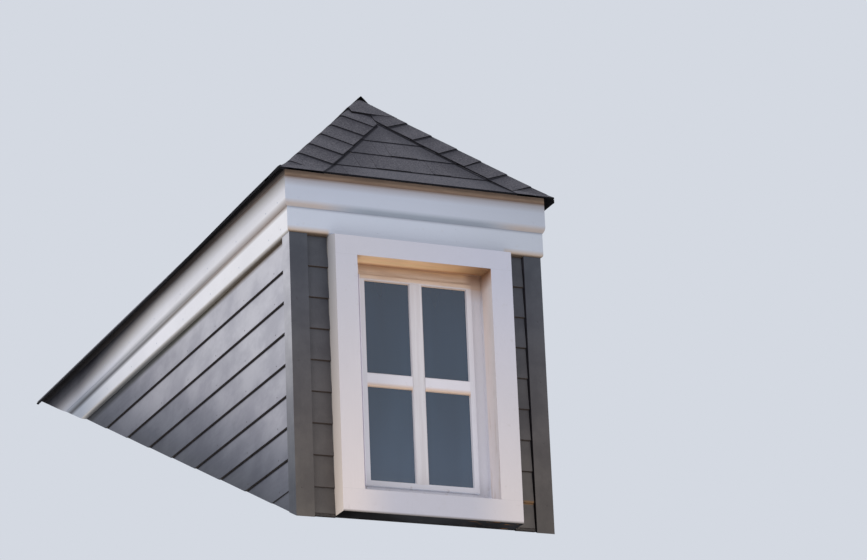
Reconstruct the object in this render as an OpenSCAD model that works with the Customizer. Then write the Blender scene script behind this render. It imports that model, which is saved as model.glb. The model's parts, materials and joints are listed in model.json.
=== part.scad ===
// Hip-roofed dormer window, built as a timber frame that stands on a sloping main roof.
// +X runs to the right along the front, +Y into the building and +Z up.
// The origin is on the main roof's surface, at the middle of the front sill timber's underside.
// All the pieces that meet the main roof are cut off on its plane, z = y * tan(main_slope).

/* [Main roof] */
// Slope of the main roof that the dormer stands on, in degrees
main_slope = 23.5; // [15:0.5:35]

/* [Overall] */
// Width of the front wall, over the faces of the corner boards
wall_w = 1280; // [1100:10:1700]
// Height of the front wall, from the main roof up to the frieze
wall_h = 1356; // [1340:2:1800]
// Pitch of the dormer's own roof, the same on its three slopes, in degrees
roof_pitch = 45; // [35:1:50]

/* [Timber frame] */
// Thickness of the studs, plates and rafters
stud_t = 38; // [30:1:50]
// Width of the studs and plates, which is the depth of the wall frame
stud_w = 89; // [70:1:140]
// Depth of the common and jack rafters
rafter_d = 89; // [70:1:110]
// Depth of the hip rafters and the ridge board
hip_d = 140; // [120:5:180]
// Spacing of the rafters and cheek studs, centre to centre
frame_pitch = 406; // [300:1:480]
// Depth of the seat that each rafter is notched to, where it stands on the wall plate
seat_cut = 50; // [30:1:60]
// Depth of the header over the window
header_h = 140; // [90:5:180]
// Width of each valley sleeper, which lies flat on the main roof
sleeper_w = 140; // [100:5:180]

/* [Skins] */
// Thickness of the wall sheathing
sheath_t = 11; // [9:1:18]
// Thickness of the roof deck
deck_t = 12; // [9:1:19]
// Thickness of the lap siding, over its lapped edges
siding_t = 16; // [10:1:20]
// Thickness of the shingles
shingle_t = 5; // [4:0.5:12]
// Overhang of the shingles past the fascia, measured level
overhang = 37; // [20:1:60]
// Thickness of the hip and ridge caps
cap_t = 5; // [4:0.5:12]
// Width of a cap on each side of its fold
cap_half = 169; // [120:1:180]
// How far down the front slope the first ridge cap is folded, measured level
cap_fold = 140; // [130:5:180]
// How far the next ridge cap stands out past the point where the hips meet
cap_nose = 33; // [10:1:60]

/* [Trim] */
// Thickness of the corner boards
corner_t = 25; // [19:1:38]
// Width of the corner boards
corner_w = 89; // [64:1:140]
// How far the frieze stands proud of the corner boards
frieze_proud = 11; // [5:1:20]
// Height of frieze that shows below the fascia
frieze_show = 121; // [80:1:160]
// Radius that rounds the lower edge of the frieze
frieze_round = 12; // [4:1:20]
// Thickness of the fascia
fascia_t = 12; // [10:1:20]
// Height of the fascia
fascia_h = 143; // [110:1:190]
// Height over which the lower edge of the fascia is rounded
fascia_round = 29; // [15:1:40]
// Thickness that is left at the fascia's lower edge, under its round
fascia_toe = 2; // [1:0.5:5]
// Height from the top of the fascia to the top of the deck's edge
strip_show = 50; // [35:1:70]

/* [Window] */
// Width of the opening inside the casing
window_w = 676; // [450:2:800]
// Height of the opening inside the casing
window_h = 1121; // [600:1:1140]
// Width of the side and sill boards of the casing
casing_w = 108; // [80:1:140]
// Width of the head board of the casing
casing_head_w = 93; // [70:1:140]
// How far the casing stands proud of the corner boards
casing_proud = 84; // [40:1:120]
// Gap between the casing and the main roof, at the wall face
casing_gap = 15; // [5:1:60]
// Thickness of the window frame where it lies behind the casing
frame_lap = 20; // [10:1:30]
// Face width of the window frame that shows inside the casing
frame_face = 54; // [40:1:70]
// How much less of the window frame shows at its head than at its sides
head_less = 4.5; // [0:0.5:10]
// Face width of the sash
sash_face = 25; // [20:1:40]
// Depth of the window frame's face behind the outer face of the sheathing
frame_set = 20; // [10:1:30]
// How far the sash stands proud of the window frame's face
sash_proud = 12; // [-10:1:20]
// Thickness of the sash
sash_t = 40; // [35:1:45]
// Depth of the glass behind the sash's face
glass_set = 12; // [8:1:20]
// Thickness of the glass
glass_t = 6; // [4:1:8]

/* [Hidden] */

// Colours, as the photo shows them
white_paint = [0.78, 0.79, 0.84];
grey_paint = [0.34, 0.34, 0.35];
shingle_grey = [0.30, 0.31, 0.36];
raw_wood = [0.62, 0.50, 0.38];
board_tan = [0.68, 0.58, 0.44];

// Clearance between pieces that are fitted by hand
clear = 2;

// Layers of the front wall, from its face inwards, along Y
frame_y = -stud_w / 2;               // outer face of the studs
sheath_y = frame_y - sheath_t;       // outer face of the sheathing
face_y = sheath_y - corner_t;        // face of the corner boards
frieze_y = face_y - frieze_proud;
fascia_y = frieze_y - fascia_t;
inner_y = frame_y + stud_w;

// The same layers of the cheeks, as distances from the middle along X
face_x = wall_w / 2;
sheath_x = face_x - corner_t;
frame_x = sheath_x - sheath_t;
inner_x = frame_x - stud_w;
frieze_x = face_x + frieze_proud;
fascia_x = frieze_x + fascia_t;

// Heights
base_z = face_y * tan(main_slope);   // low edge of the front wall
cut_z = base_z - 100;                // lower than anything that stands on the main roof
frieze_z = base_z + wall_h;
fascia_z = frieze_z + frieze_show;
strip_z = fascia_z + fascia_h;
eave_z = strip_z + strip_show;       // top of the deck's edge, over the fascia's face

// Thicknesses of the roof's layers, measured plumb
deck_v = deck_t / cos(roof_pitch);
shingle_v = shingle_t / cos(roof_pitch);
cap_v = cap_t / cos(roof_pitch);
rafter_v = rafter_d / cos(roof_pitch);
sole_v = stud_t / cos(main_slope);
hip_angle = atan(tan(roof_pitch) / sqrt(2));
hip_v = hip_d / cos(hip_angle);

// Height of the rafters' upper edges over a line that lies a level distance inside the fascia's face
function rafter_top(inside) = eave_z - deck_v + inside * tan(roof_pitch);
rafter_low = rafter_top(fascia_t) - rafter_v;                 // foot of the rafter tails
sheath_top = rafter_top(fascia_x - sheath_x) - rafter_v;
plate_top = rafter_top(fascia_x - frame_x) - rafter_v + seat_cut * tan(roof_pitch);
plate_z = plate_top - stud_t;

// The hips meet over this point, and the ridge runs back from it
apex_y = fascia_y + fascia_x;
ridge_top = rafter_top(fascia_x - stud_t / 2);
ridge_y = apex_y - stud_t * (1 / 2 + 1 / sqrt(2));              // where both hips have met it
ridge_back = (eave_z + fascia_x * tan(roof_pitch)) / tan(main_slope);
cheek_back = (plate_top - sole_v) / tan(main_slope);          // where the top plates run out
sole_back = cheek_back + sole_v / tan(main_slope);
studs_back = (plate_z - 2 * stud_t - sole_v) / tan(main_slope);
rafters_back = (ridge_top - stud_w - sole_v) / tan(main_slope);

// Window heights
casing_z = base_z + casing_gap;
casing_top = casing_z + casing_w + window_h + casing_head_w;
opening_z = casing_z + casing_w;
opening_top = opening_z + window_h;
sill_top = opening_z - frame_lap - clear;
frame_top = opening_top + frame_lap;
post_x = window_w / 2 + frame_lap + clear;
header_z = frame_top + clear;
casing_x = window_w / 2 + casing_w;
casing_y = face_y - casing_proud;
pane_y = sheath_y + frame_set;
sash_y = pane_y - sash_proud;
glass_rebate = 10;
glass_y = sash_y + glass_set;

// Size of the blocks that are used for cutting
far = ridge_back + 1000;

// Level distance past the fascia that the roof's planes are drawn out to
reach = 300;

// Everything above the main roof's plane, raised plumb by lift
module above_main_roof(lift = 0) {
    t = tan(main_slope);
    translate([-far / 2, 0, lift]) rotate([90, 0, 90]) linear_extrude(far)
        polygon([[-far, -far * t], [far, far * t], [far, 2 * far], [-far, 2 * far]]);
}

// Everything under the roof's two side slopes, as if they ran on to a gable
module under_gable(lift = 0) {
    t = tan(roof_pitch);
    translate([0, far, eave_z + lift]) rotate([90, 0, 0]) linear_extrude(2 * far)
        polygon([[-fascia_x - reach, -reach * t], [0, fascia_x * t], [fascia_x + reach, -reach * t],
                 [fascia_x + reach, -far], [-fascia_x - reach, -far]]);
}

// Everything under the dormer's three roof slopes, whose deck tops are raised plumb by lift
module under_roof(lift = 0) {
    t = tan(roof_pitch);
    intersection() {
        under_gable(lift);
        translate([-far, fascia_y, eave_z + lift]) rotate([90, 0, 90]) linear_extrude(2 * far)
            polygon([[-reach, -reach * t], [far, far * t], [far, -far], [-reach, -far]]);
    }
}

// A layer of the roof that lies plumb between two heights over the deck's top
module roof_layer(low, high) {
    difference() {
        under_roof(high);
        under_roof(low);
    }
}

// The part of the plan that belongs to one slope, out to a level distance past the fascia
module slope_plan(side, past) {
    x = fascia_x + past;
    y = fascia_y - past;
    translate([0, 0, -far / 2]) linear_extrude(2 * far)
        if (side == "front") polygon([[-x, y], [x, y], [0, apex_y]]);
        else mirror([side == "right" ? 1 : 0, 0])
            polygon([[-x, y], [0, apex_y], [0, far], [-x, far]]);
}

// One slope of a roof layer, trimmed on the main roof
module slope(side, low, high, past) {
    intersection() {
        roof_layer(low, high);
        slope_plan(side, past);
        above_main_roof();
    }
}

// Makes the left-hand piece, or its mirror image on the right
module sided(side) {
    mirror([side == "right" ? 1 : 0, 0, 0]) children();
}

// A block given by two corners
module block(low, high) {
    translate(low) cube(high - low);
}

// A board along the front, from its cross-section in Y and Z, mitred at both corners
module front_board(x, y) {
    intersection() {
        translate([-x, 0, 0]) rotate([90, 0, 90]) linear_extrude(2 * x) children();
        translate([0, 0, -far / 2]) linear_extrude(far)
            polygon([[-x, y], [x, y], [0, y + x]]);
    }
}

// The same board along the left cheek: its section turns the corner and runs back to the main roof
module cheek_board(x, y) {
    intersection() {
        translate([-x - y, y, 0]) rotate([90, 0, 0]) mirror([0, 0, 1]) linear_extrude(far) children();
        translate([0, 0, -far / 2]) linear_extrude(far)
            polygon([[-x, y], [0, y + x], [0, far], [-x, far]]);
        above_main_roof();
    }
}

// Cross-sections of the trim, in Y and Z
module frieze_section() {
    top = rafter_low - clear;
    r = frieze_round;
    translate([frieze_y + r, frieze_z]) square([sheath_y - frieze_y - r, top - frieze_z]);
    translate([frieze_y, frieze_z + r]) square([r, top - frieze_z - r]);
    translate([frieze_y + r, frieze_z + r]) circle(r, $fn = 48);
}

module fascia_section() {
    deep = fascia_t - fascia_toe;
    r = (pow(fascia_round, 2) + pow(deep, 2)) / (2 * deep);
    intersection() {
        translate([fascia_y, fascia_z]) square([fascia_t, fascia_h]);
        union() {
            translate([fascia_y, fascia_z + fascia_round]) square([fascia_t, fascia_h]);
            translate([fascia_y + r, fascia_z + fascia_round]) circle(r, $fn = 96);
        }
    }
}

module strip_section() {
    polygon([[fascia_y, strip_z], [frieze_y, strip_z], [frieze_y, rafter_top(fascia_t)],
             [fascia_y, rafter_top(0)]]);
}

// Sill timber of the front wall: bevelled underneath to lie on the main roof, level on top
module front_sill_timber() color(board_tan)
    intersection() {
        block([-frame_x, frame_y, cut_z], [frame_x, inner_y, sill_top]);
        above_main_roof();
    }

// Sole plate of a cheek, flat on the main roof
module sole_plate(side) color(board_tan) sided(side)
    difference() {
        intersection() {
            block([-frame_x, inner_y, 0], [-inner_x, sole_back, plate_top]);
            above_main_roof();
        }
        above_main_roof(sole_v);
    }

// Studs of the front wall: corners, window posts notched to carry the header, and a cripple over it
module front_studs() color(board_tan) {
    for (side = ["left", "right"]) sided(side) {
        block([-frame_x, frame_y, sill_top], [stud_t - frame_x, inner_y, plate_z]);
        difference() {
            block([-post_x - 2 * stud_t, frame_y, sill_top], [-post_x, inner_y, plate_z]);
            block([-post_x - stud_t, frame_y - 1, header_z], [0, inner_y + 1, header_z + header_h]);
        }
    }
    block([-stud_t / 2, frame_y, header_z + header_h], [stud_t / 2, inner_y, plate_z]);
}

// Header over the window, let into both posts
module window_header() color(board_tan)
    block([-post_x - stud_t, frame_y, header_z], [post_x + stud_t, inner_y, header_z + header_h]);

// Cheek studs, cut off at the rake on the sole plate
module cheek_studs(side) color(board_tan) sided(side)
    for (y = [apex_y - frame_pitch : frame_pitch : studs_back])
        intersection() {
            block([-frame_x, y - stud_t / 2, 0], [-inner_x, y + stud_t / 2, plate_z]);
            above_main_roof(sole_v);
        }

module top_plate_front() color(board_tan)
    block([-frame_x, frame_y, plate_z], [frame_x, inner_y, plate_top]);

module cheek_top_plates() color(board_tan)
    for (side = ["left", "right"]) sided(side)
        intersection() {
            block([-frame_x, inner_y, plate_z], [-inner_x, cheek_back + 2 * stud_w, plate_top]);
            above_main_roof(sole_v);
        }

// Ridge board, from the top of the front rafter back to the main roof
module ridge_board() color(board_tan)
    intersection() {
        block([-stud_t / 2, ridge_y, ridge_top - hip_d], [stud_t / 2, far, ridge_top]);
        under_roof(-deck_v);
        above_main_roof();
    }

// The band on edge along the left hip, as thick as a stud, that the hip rafter is cut from
module hip_band(low, high) {
    run = apex_y - fascia_y;
    translate([-fascia_x, fascia_y, 0]) rotate([0, 0, 45]) rotate([90, 0, 0])
        translate([0, 0, -stud_t / 2]) linear_extrude(stud_t)
            polygon([[0, rafter_top(0) + low], [run * sqrt(2), rafter_top(run) + low],
                     [run * sqrt(2), rafter_top(run) + high], [0, rafter_top(0) + high]]);
}

// Hip rafters: backed to both slopes, notched over the wall plates and let in beside the ridge
module hip_rafters() color(board_tan)
    for (side = ["left", "right"]) sided(side)
        difference() {
            intersection() {
                hip_band(-hip_v, 0);
                under_roof(-deck_v);
                block([-frieze_x, frieze_y, 0], [-stud_t / 2, far, far]);
            }
            block([-far, -far, 0], [-inner_x, far, plate_top]);
            block([-far, -far, 0], [far, inner_y, plate_top]);
        }

// All the stock that the rafters are cut from: one layer under the deck, without the hips' own bands
module rafter_stock() {
    difference() {
        roof_layer(-deck_v - rafter_v, -deck_v);
        for (side = ["left", "right"]) sided(side) hip_band(-far, far);
    }
}

// Front rafters: one up to the ridge, and a jack rafter up to each hip
module rafters_front() color(board_tan)
    difference() {
        intersection() {
            rafter_stock();
            slope_plan("front", 0);
            for (x = [-frame_pitch, 0, frame_pitch])
                block([x - stud_t / 2, frieze_y, 0], [x + stud_t / 2, ridge_y, far]);
        }
        block([-far, frame_y, 0], [far, inner_y, plate_top]);
    }

// Rafters of one side: a jack rafter to the hip, common rafters, and valley jacks on the sleeper
module rafters_side(side) color(board_tan) sided(side)
    difference() {
        intersection() {
            rafter_stock();
            slope_plan("left", 0);
            above_main_roof(sole_v);
            for (y = [apex_y - frame_pitch : frame_pitch : rafters_back])
                block([-frieze_x, y - stud_t / 2, 0], [-stud_t / 2, y + stud_t / 2, far]);
        }
        block([-frame_x, 0, 0], [-inner_x, sole_back, plate_top]);
    }

// Valley sleepers, flat on the main roof along the lines where the dormer's slopes meet it
module valley_sleepers() color(board_tan) {
    drop = sleeper_w / cos(main_slope);
    for (side = ["left", "right"]) sided(side)
        difference() {
            intersection() {
                under_roof(-deck_v);
                above_main_roof();
                block([-frieze_x, sole_back, 0], [-stud_t / 2, far, far]);
            }
            under_roof(-deck_v - drop);
            above_main_roof(sole_v);
        }
}

module wall_sheathing_front() color(raw_wood)
    difference() {
        intersection() {
            block([-sheath_x, sheath_y, cut_z], [sheath_x, frame_y, sheath_top]);
            above_main_roof();
        }
        block([-post_x, sheath_y - 1, sill_top], [post_x, frame_y + 1, header_z]);
    }

module wall_sheathing_side(side) color(raw_wood) sided(side)
    intersection() {
        block([-sheath_x, frame_y, cut_z], [-frame_x, far, sheath_top]);
        above_main_roof();
    }

module roof_deck(side) color(raw_wood) slope(side, -deck_v, 0, 0);

module shingles(side) color(shingle_grey) slope(side, 0, shingle_v, overhang);

// The plan of the first ridge cap, folded down over the tops of all three slopes
module folded_cap_plan()
    block([-cap_fold, apex_y - cap_fold, -far], [cap_fold, apex_y + cap_fold, far]);

// The plan of the ridge caps behind it, which are folded over the ridge alone
module ridge_cap_plan() {
    w = cap_half * cos(roof_pitch);
    block([-w, apex_y - cap_nose, -far], [w, far, far]);
}

// The plan of the caps along the left hip: a band on both sides of the fold, square at the eaves
module hip_cap_plan() {
    w = cap_half * cos(roof_pitch) / cos(hip_angle);
    intersection() {
        translate([-fascia_x, fascia_y, -far / 2])
            rotate([0, 0, 45])
            translate([-2 * overhang, -w, 0])
            cube([2 * far, 2 * w, 2 * far]);
        block([-fascia_x - overhang, fascia_y - overhang, -far], [0, far, far]);
    }
}

// Hip caps, folded over the hip and lapped at the top by the first two ridge caps
module hip_caps(side) color(shingle_grey) sided(side)
    difference() {
        intersection() {
            roof_layer(shingle_v, shingle_v + cap_v);
            hip_cap_plan();
        }
        folded_cap_plan();
        ridge_cap_plan();
    }

// Ridge caps: over the first one the next stands out like a small gable
module ridge_caps() color(shingle_grey)
    intersection() {
        union() {
            intersection() {
                roof_layer(shingle_v, shingle_v + cap_v);
                folded_cap_plan();
            }
            intersection() {
                difference() {
                    under_gable(shingle_v + cap_v);
                    under_gable(shingle_v);
                }
                ridge_cap_plan();
            }
        }
        above_main_roof();
    }

// Lap siding of the front, which shows as a strip on each side of the casing
module siding_front() color(grey_paint)
    for (side = ["left", "right"]) sided(side)
        intersection() {
            block([corner_w - face_x, sheath_y - siding_t, cut_z], [-casing_x, sheath_y, frieze_z]);
            above_main_roof();
        }

module siding_side(side) color(grey_paint) sided(side)
    intersection() {
        block([-sheath_x - siding_t, face_y + corner_w, cut_z], [-sheath_x, far, frieze_z]);
        above_main_roof();
    }

// Corner board: it shows the same width on the front and on the cheek
module corner_board(side) color(grey_paint) sided(side)
    intersection() {
        difference() {
            block([-face_x, face_y, cut_z], [corner_w - face_x, face_y + corner_w, frieze_z]);
            block([-sheath_x, sheath_y, cut_z - 1], [face_x, far, frieze_z + 1]);
        }
        above_main_roof();
    }

module frieze_front() color(white_paint) front_board(frieze_x, frieze_y) frieze_section();

module frieze_side(side) color(white_paint) sided(side)
    cheek_board(frieze_x, frieze_y) frieze_section();

module fascia_front() color(white_paint) front_board(fascia_x, fascia_y) fascia_section();

module fascia_side(side) color(white_paint) sided(side)
    cheek_board(fascia_x, fascia_y) fascia_section();

// Unpainted strip that closes the eaves above the fascia, all round
module eave_strip() color(raw_wood) {
    front_board(fascia_x, fascia_y) strip_section();
    for (side = ["left", "right"]) sided(side) cheek_board(fascia_x, fascia_y) strip_section();
}

// Head of the casing: its top is weathered from the frieze down to its face
module casing_head() color(white_paint)
    translate([-casing_x, 0, 0]) rotate([90, 0, 90]) linear_extrude(2 * casing_x)
        polygon([[casing_y, opening_top], [sheath_y, opening_top], [sheath_y, frieze_z],
                 [frieze_y, frieze_z], [casing_y, casing_top]]);

module casing_sill() color(white_paint)
    intersection() {
        block([-casing_x, casing_y, casing_z], [casing_x, sheath_y, opening_z]);
        above_main_roof();
    }

module casing_sides() color(white_paint)
    for (side = ["left", "right"]) sided(side)
        block([-casing_x, casing_y, opening_z], [-window_w / 2, sheath_y, opening_top]);

// A block over the window opening, grown or shrunk on all four sides, between two depths
module window_block(grow, y0, y1, raise = 0) {
    block([-window_w / 2 - grow, y0, opening_z - grow],
          [window_w / 2 + grow, y1, opening_top + raise + grow]);
}

// Window frame: it fills the wall's depth, and its outer part lies behind the casing
module window_frame() color(white_paint)
    difference() {
        window_block(frame_lap, sheath_y, inner_y);
        window_block(0, sheath_y - 1, pane_y);
        window_block(-frame_face, pane_y - 1, inner_y + 1, head_less);
    }

module sash() color(white_paint)
    difference() {
        window_block(-frame_face, sash_y, sash_y + sash_t, head_less);
        window_block(-frame_face - sash_face, sash_y - 1, sash_y + sash_t + 1, head_less);
        window_block(glass_rebate - frame_face - sash_face, glass_y, sash_y + sash_t + 1, head_less);
    }

module glass() color([0.45, 0.55, 0.62, 0.6])
    window_block(glass_rebate - frame_face - sash_face - clear, glass_y, glass_y + glass_t, head_less);

front_sill_timber();
sole_plate("left");  // sole_plate_left
sole_plate("right");  // sole_plate_right
front_studs();
window_header();
cheek_studs("left");  // cheek_studs_left
cheek_studs("right");  // cheek_studs_right
top_plate_front();
cheek_top_plates();
ridge_board();
hip_rafters();
rafters_front();
rafters_side("left");  // rafters_left
rafters_side("right");  // rafters_right
valley_sleepers();
wall_sheathing_front();
wall_sheathing_side("left");  // wall_sheathing_left
wall_sheathing_side("right");  // wall_sheathing_right
roof_deck("front");  // roof_deck_front
roof_deck("left");  // roof_deck_left
roof_deck("right");  // roof_deck_right
shingles("front");  // shingles_front
shingles("left");  // shingles_left
shingles("right");  // shingles_right
hip_caps("left");  // hip_caps_left
hip_caps("right");  // hip_caps_right
ridge_caps();
siding_front();
siding_side("left");  // siding_left
siding_side("right");  // siding_right
corner_board("left");  // corner_board_left
corner_board("right");  // corner_board_right
frieze_front();
frieze_side("left");  // frieze_left
frieze_side("right");  // frieze_right
fascia_front();
fascia_side("left");  // fascia_left
fascia_side("right");  // fascia_right
eave_strip();
casing_head();
casing_sill();
casing_sides();
window_frame();
sash();
glass();
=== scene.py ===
# %% [markdown]
# # A hipped dormer, from bare frame to painted boards
# The frame that this script loads holds the dormer's construction: walls, rafters, trim and window.
# The lesson adds what a carpenter and a roofer nail on last, and gives every surface its finish.
# Everything is in metres. The dormer's front looks along -Y and its ridge runs back along +Y.

# %% Load the frame and keep its box
import json
import math

import bpy
import numpy as np
from mathutils import Matrix, Vector


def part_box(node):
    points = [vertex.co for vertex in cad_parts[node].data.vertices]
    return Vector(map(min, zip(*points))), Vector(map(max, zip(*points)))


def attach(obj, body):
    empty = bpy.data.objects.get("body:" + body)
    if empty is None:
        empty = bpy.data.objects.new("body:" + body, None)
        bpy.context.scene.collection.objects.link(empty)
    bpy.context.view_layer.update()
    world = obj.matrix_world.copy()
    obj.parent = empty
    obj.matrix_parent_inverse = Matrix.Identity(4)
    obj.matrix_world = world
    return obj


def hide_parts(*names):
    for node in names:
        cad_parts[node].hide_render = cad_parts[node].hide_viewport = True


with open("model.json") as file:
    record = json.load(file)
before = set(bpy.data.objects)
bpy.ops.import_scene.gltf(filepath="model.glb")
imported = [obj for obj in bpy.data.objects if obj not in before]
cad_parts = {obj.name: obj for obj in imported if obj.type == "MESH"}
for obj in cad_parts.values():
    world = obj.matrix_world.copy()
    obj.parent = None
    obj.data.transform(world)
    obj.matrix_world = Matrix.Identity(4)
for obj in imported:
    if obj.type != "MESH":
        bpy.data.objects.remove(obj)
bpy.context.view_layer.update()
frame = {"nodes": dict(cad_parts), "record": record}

# %% [markdown]
# The photographer stood well below the dormer and to its left, with a long lens.
# A camera needs a place, three turns and a focal length.
# The turns are kept as the three angles a photographer would name: how far the lens points to the
# right, how far it points up, and how far the horizon leans.

# %% Set the camera
PHOTO_W, PHOTO_H = 867, 560
FOCAL_PX = 3400
CAMERA_AT = Vector((-6.027, -13.840, -4.008))
TURN, TILT, LEAN = (math.radians(a) for a in (23.93, 18.93, 2.35))

forward = Vector((math.sin(TURN) * math.cos(TILT), math.cos(TURN) * math.cos(TILT), math.sin(TILT)))
level_right = Vector((math.cos(TURN), -math.sin(TURN), 0))
level_down = forward.cross(level_right)
right = math.cos(LEAN) * level_right + math.sin(LEAN) * level_down
down = -math.sin(LEAN) * level_right + math.cos(LEAN) * level_down


def photo_pixel(point):
    """Where a point lands in the photo: its offsets right and down, over its depth, times the focal
    length."""
    ray = Vector(point) - CAMERA_AT
    scale = FOCAL_PX / ray.dot(forward)
    along, below = scale * ray.dot(right), scale * ray.dot(down)
    return round(PHOTO_W / 2 + along, 1), round(PHOTO_H / 2 + below, 1)


camera = bpy.data.objects.new("camera", bpy.data.cameras.new("camera"))
bpy.context.scene.collection.objects.link(camera)
turned = Matrix((right, -down, -forward)).transposed().to_4x4()
camera.matrix_world = Matrix.Translation(CAMERA_AT) @ turned
camera.data.sensor_width = 36
camera.data.lens = camera.data.sensor_width * FOCAL_PX / PHOTO_W
camera.data.clip_end = 200
bpy.context.scene.camera = camera
print("lens", round(camera.data.lens, 1), "mm, and the origin lands on", photo_pixel((0, 0, 0)))

# %% [markdown]
# The boards and shingles have to sit on the frame, so their sizes start from it.
# The main roof's slope is read from the seat that the dormer stands on, and the eaves and walls from
# the boxes of the nodes. What a size means to the carpenter is in its name.

# %% Read the driving sizes from the frame
seat_normal = frame["record"]["mounts"][0]["axis"]
ROOF_RISE = -seat_normal[1] / seat_normal[2]
PITCH = math.radians(45)
TIP_X = -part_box("shingles_left")[0].x
TIP_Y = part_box("shingles_front")[0].y
APEX_Y = TIP_Y + TIP_X
FASCIA_X = -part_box("fascia_left")[0].x
OVERHANG = TIP_X - FASCIA_X
RIDGE_DECK_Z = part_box("roof_deck_front")[1].z
EAVE_Z = RIDGE_DECK_Z - TIP_X * math.tan(PITCH)
SHINGLE_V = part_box("shingles_left")[1].z - RIDGE_DECK_Z
CAP_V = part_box("ridge_caps")[1].z - RIDGE_DECK_Z - SHINGLE_V
FRIEZE_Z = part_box("frieze_front")[0].z
FASCIA_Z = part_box("fascia_front")[0].z
STRIP_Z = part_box("fascia_front")[1].z
FRIEZE_X = -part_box("frieze_left")[0].x
SHEATH_X = -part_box("wall_sheathing_left")[0].x
SHEATH_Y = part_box("wall_sheathing_front")[0].y
CORNER_X = -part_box("corner_board_left")[0].x
CORNER_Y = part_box("corner_board_left")[0].y
CORNER_INNER_X = -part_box("corner_board_left")[1].x
CORNER_BACK_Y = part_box("corner_board_left")[1].y
CASING_X = -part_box("casing_head")[0].x
CASING_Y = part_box("casing_head")[0].y
CASING_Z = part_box("casing_sill")[0].z
CASING_BOARD_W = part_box("casing_sill")[1].z - CASING_Z
OPENING_X = -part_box("casing_sides")[0].x - CASING_BOARD_W
OPENING_LOW, OPENING_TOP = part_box("casing_sides")[0].z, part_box("casing_sides")[1].z
print("main roof rises", round(ROOF_RISE, 4), "per metre; eave at", round(EAVE_Z, 4))
print("apex at", round(APEX_Y, 4), "and half the opening is", round(OPENING_X, 4))
print("shingles and caps stand", round(SHINGLE_V, 4), round(CAP_V, 4), "plumb")

# %% [markdown]
# Every new piece is a set of closed solids, and each solid is a profile carried along a path.
# The profile is a ring of points, and a station is that ring at one place on the path, so a solid is
# one array of stations by ring points. The ends are closed with one face each, unless the path is a
# loop. A solid's volume has a sign, so one that comes out inside out is found and turned.
# Two numbers go with each point for the paint: tone is one shade for a whole board, and shade is 1
# where the next board lies close over it, so that a painted shadow darkens it there.

# %% Make solids from arrays
def carried(stations, shade=0.0, loop=False):
    """A closed solid from rings: quads join each ring to the next, and one face closes each open end.
    The signed volume is the sum over triangles of a dot (b cross c), and a negative one flips the
    faces."""
    rings = np.asarray(stations, float)
    count, size, _ = rings.shape
    here = np.arange(count if loop else count - 1)[:, None]
    there = (here + 1) % count
    ring, turned = np.arange(size), (np.arange(size) + 1) % size
    corners = [here * size + ring, here * size + turned, there * size + turned, there * size + ring]
    faces = np.stack([c.ravel() for c in corners], 1).tolist()
    if not loop:
        faces.append(list(range(size))[::-1])
        faces.append([(count - 1) * size + i for i in range(size)])
    points = rings.reshape(-1, 3)
    middle = points.mean(0)
    volume = 0
    for face in faces:
        a, rest = points[face[0]] - middle, points[face[1:]] - middle
        volume += np.cross(rest[:-1], rest[1:]).dot(a).sum()
    if volume < 0:
        faces = [face[::-1] for face in faces]
    return points, faces, np.broadcast_to(shade, (count, size)).ravel()


def point_numbers(mesh, name, values):
    """Stores one number with each point, for the paint to read."""
    attribute = mesh.attributes.new(name, "FLOAT", "POINT")
    attribute.data.foreach_set("value", np.concatenate(values).astype(np.float32))


def box_of(low, high):
    """The eight corners of a plain box, as two stations of four."""
    (x0, y0, z0), (x1, y1, z1) = low, high
    return [[[x, y0, z0], [x, y1, z0], [x, y1, z1], [x, y0, z1]] for x in (x0, x1)]


print("a box has", len(carried(box_of((0, 0, 0), (1, 1, 1)))[1]), "faces")

# %% Join solids into a piece
SMOOTH_UNDER = math.radians(25)
MIDDLE_TONE = 0.5


def piece(name, solids, finish, replaces=(), tones=None):
    """Joins solids into one object that rides with the dormer, and stores their tone and shade."""
    points, faces, tone, start = [], [], [], 0
    for index, (part, part_faces, _) in enumerate(solids):
        points.append(part)
        faces += [[i + start for i in face] for face in part_faces]
        tone.append(np.full(len(part), tones[index] if tones is not None else MIDDLE_TONE))
        start += len(part)
    mesh = bpy.data.meshes.new(name)
    mesh.from_pydata(np.concatenate(points).tolist(), [], faces)
    point_numbers(mesh, "tone", tone)
    point_numbers(mesh, "shade", [shade for _, _, shade in solids])
    mesh.materials.append(finish)
    mesh.validate()
    mesh.shade_smooth()
    mesh.set_sharp_from_angle(angle=SMOOTH_UNDER)
    thing = bpy.data.objects.new(name, mesh)
    bpy.context.scene.collection.objects.link(thing)
    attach(thing, "root")
    if replaces:
        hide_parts(*replaces)
    print(name, "has", len(solids), "solids and", len(faces), "faces")
    return thing


chance = np.random.default_rng(7)
print("pieces and random draws are ready")

# %% [markdown]
# A finish is a small sum: a colour, plus weather, plus grain. Written node by node it is long, so one
# class wraps a socket and lets Python's own operators add the Math nodes.
# Anything that isn't a sum, such as a noise or a mix, comes from its one method add.

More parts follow.
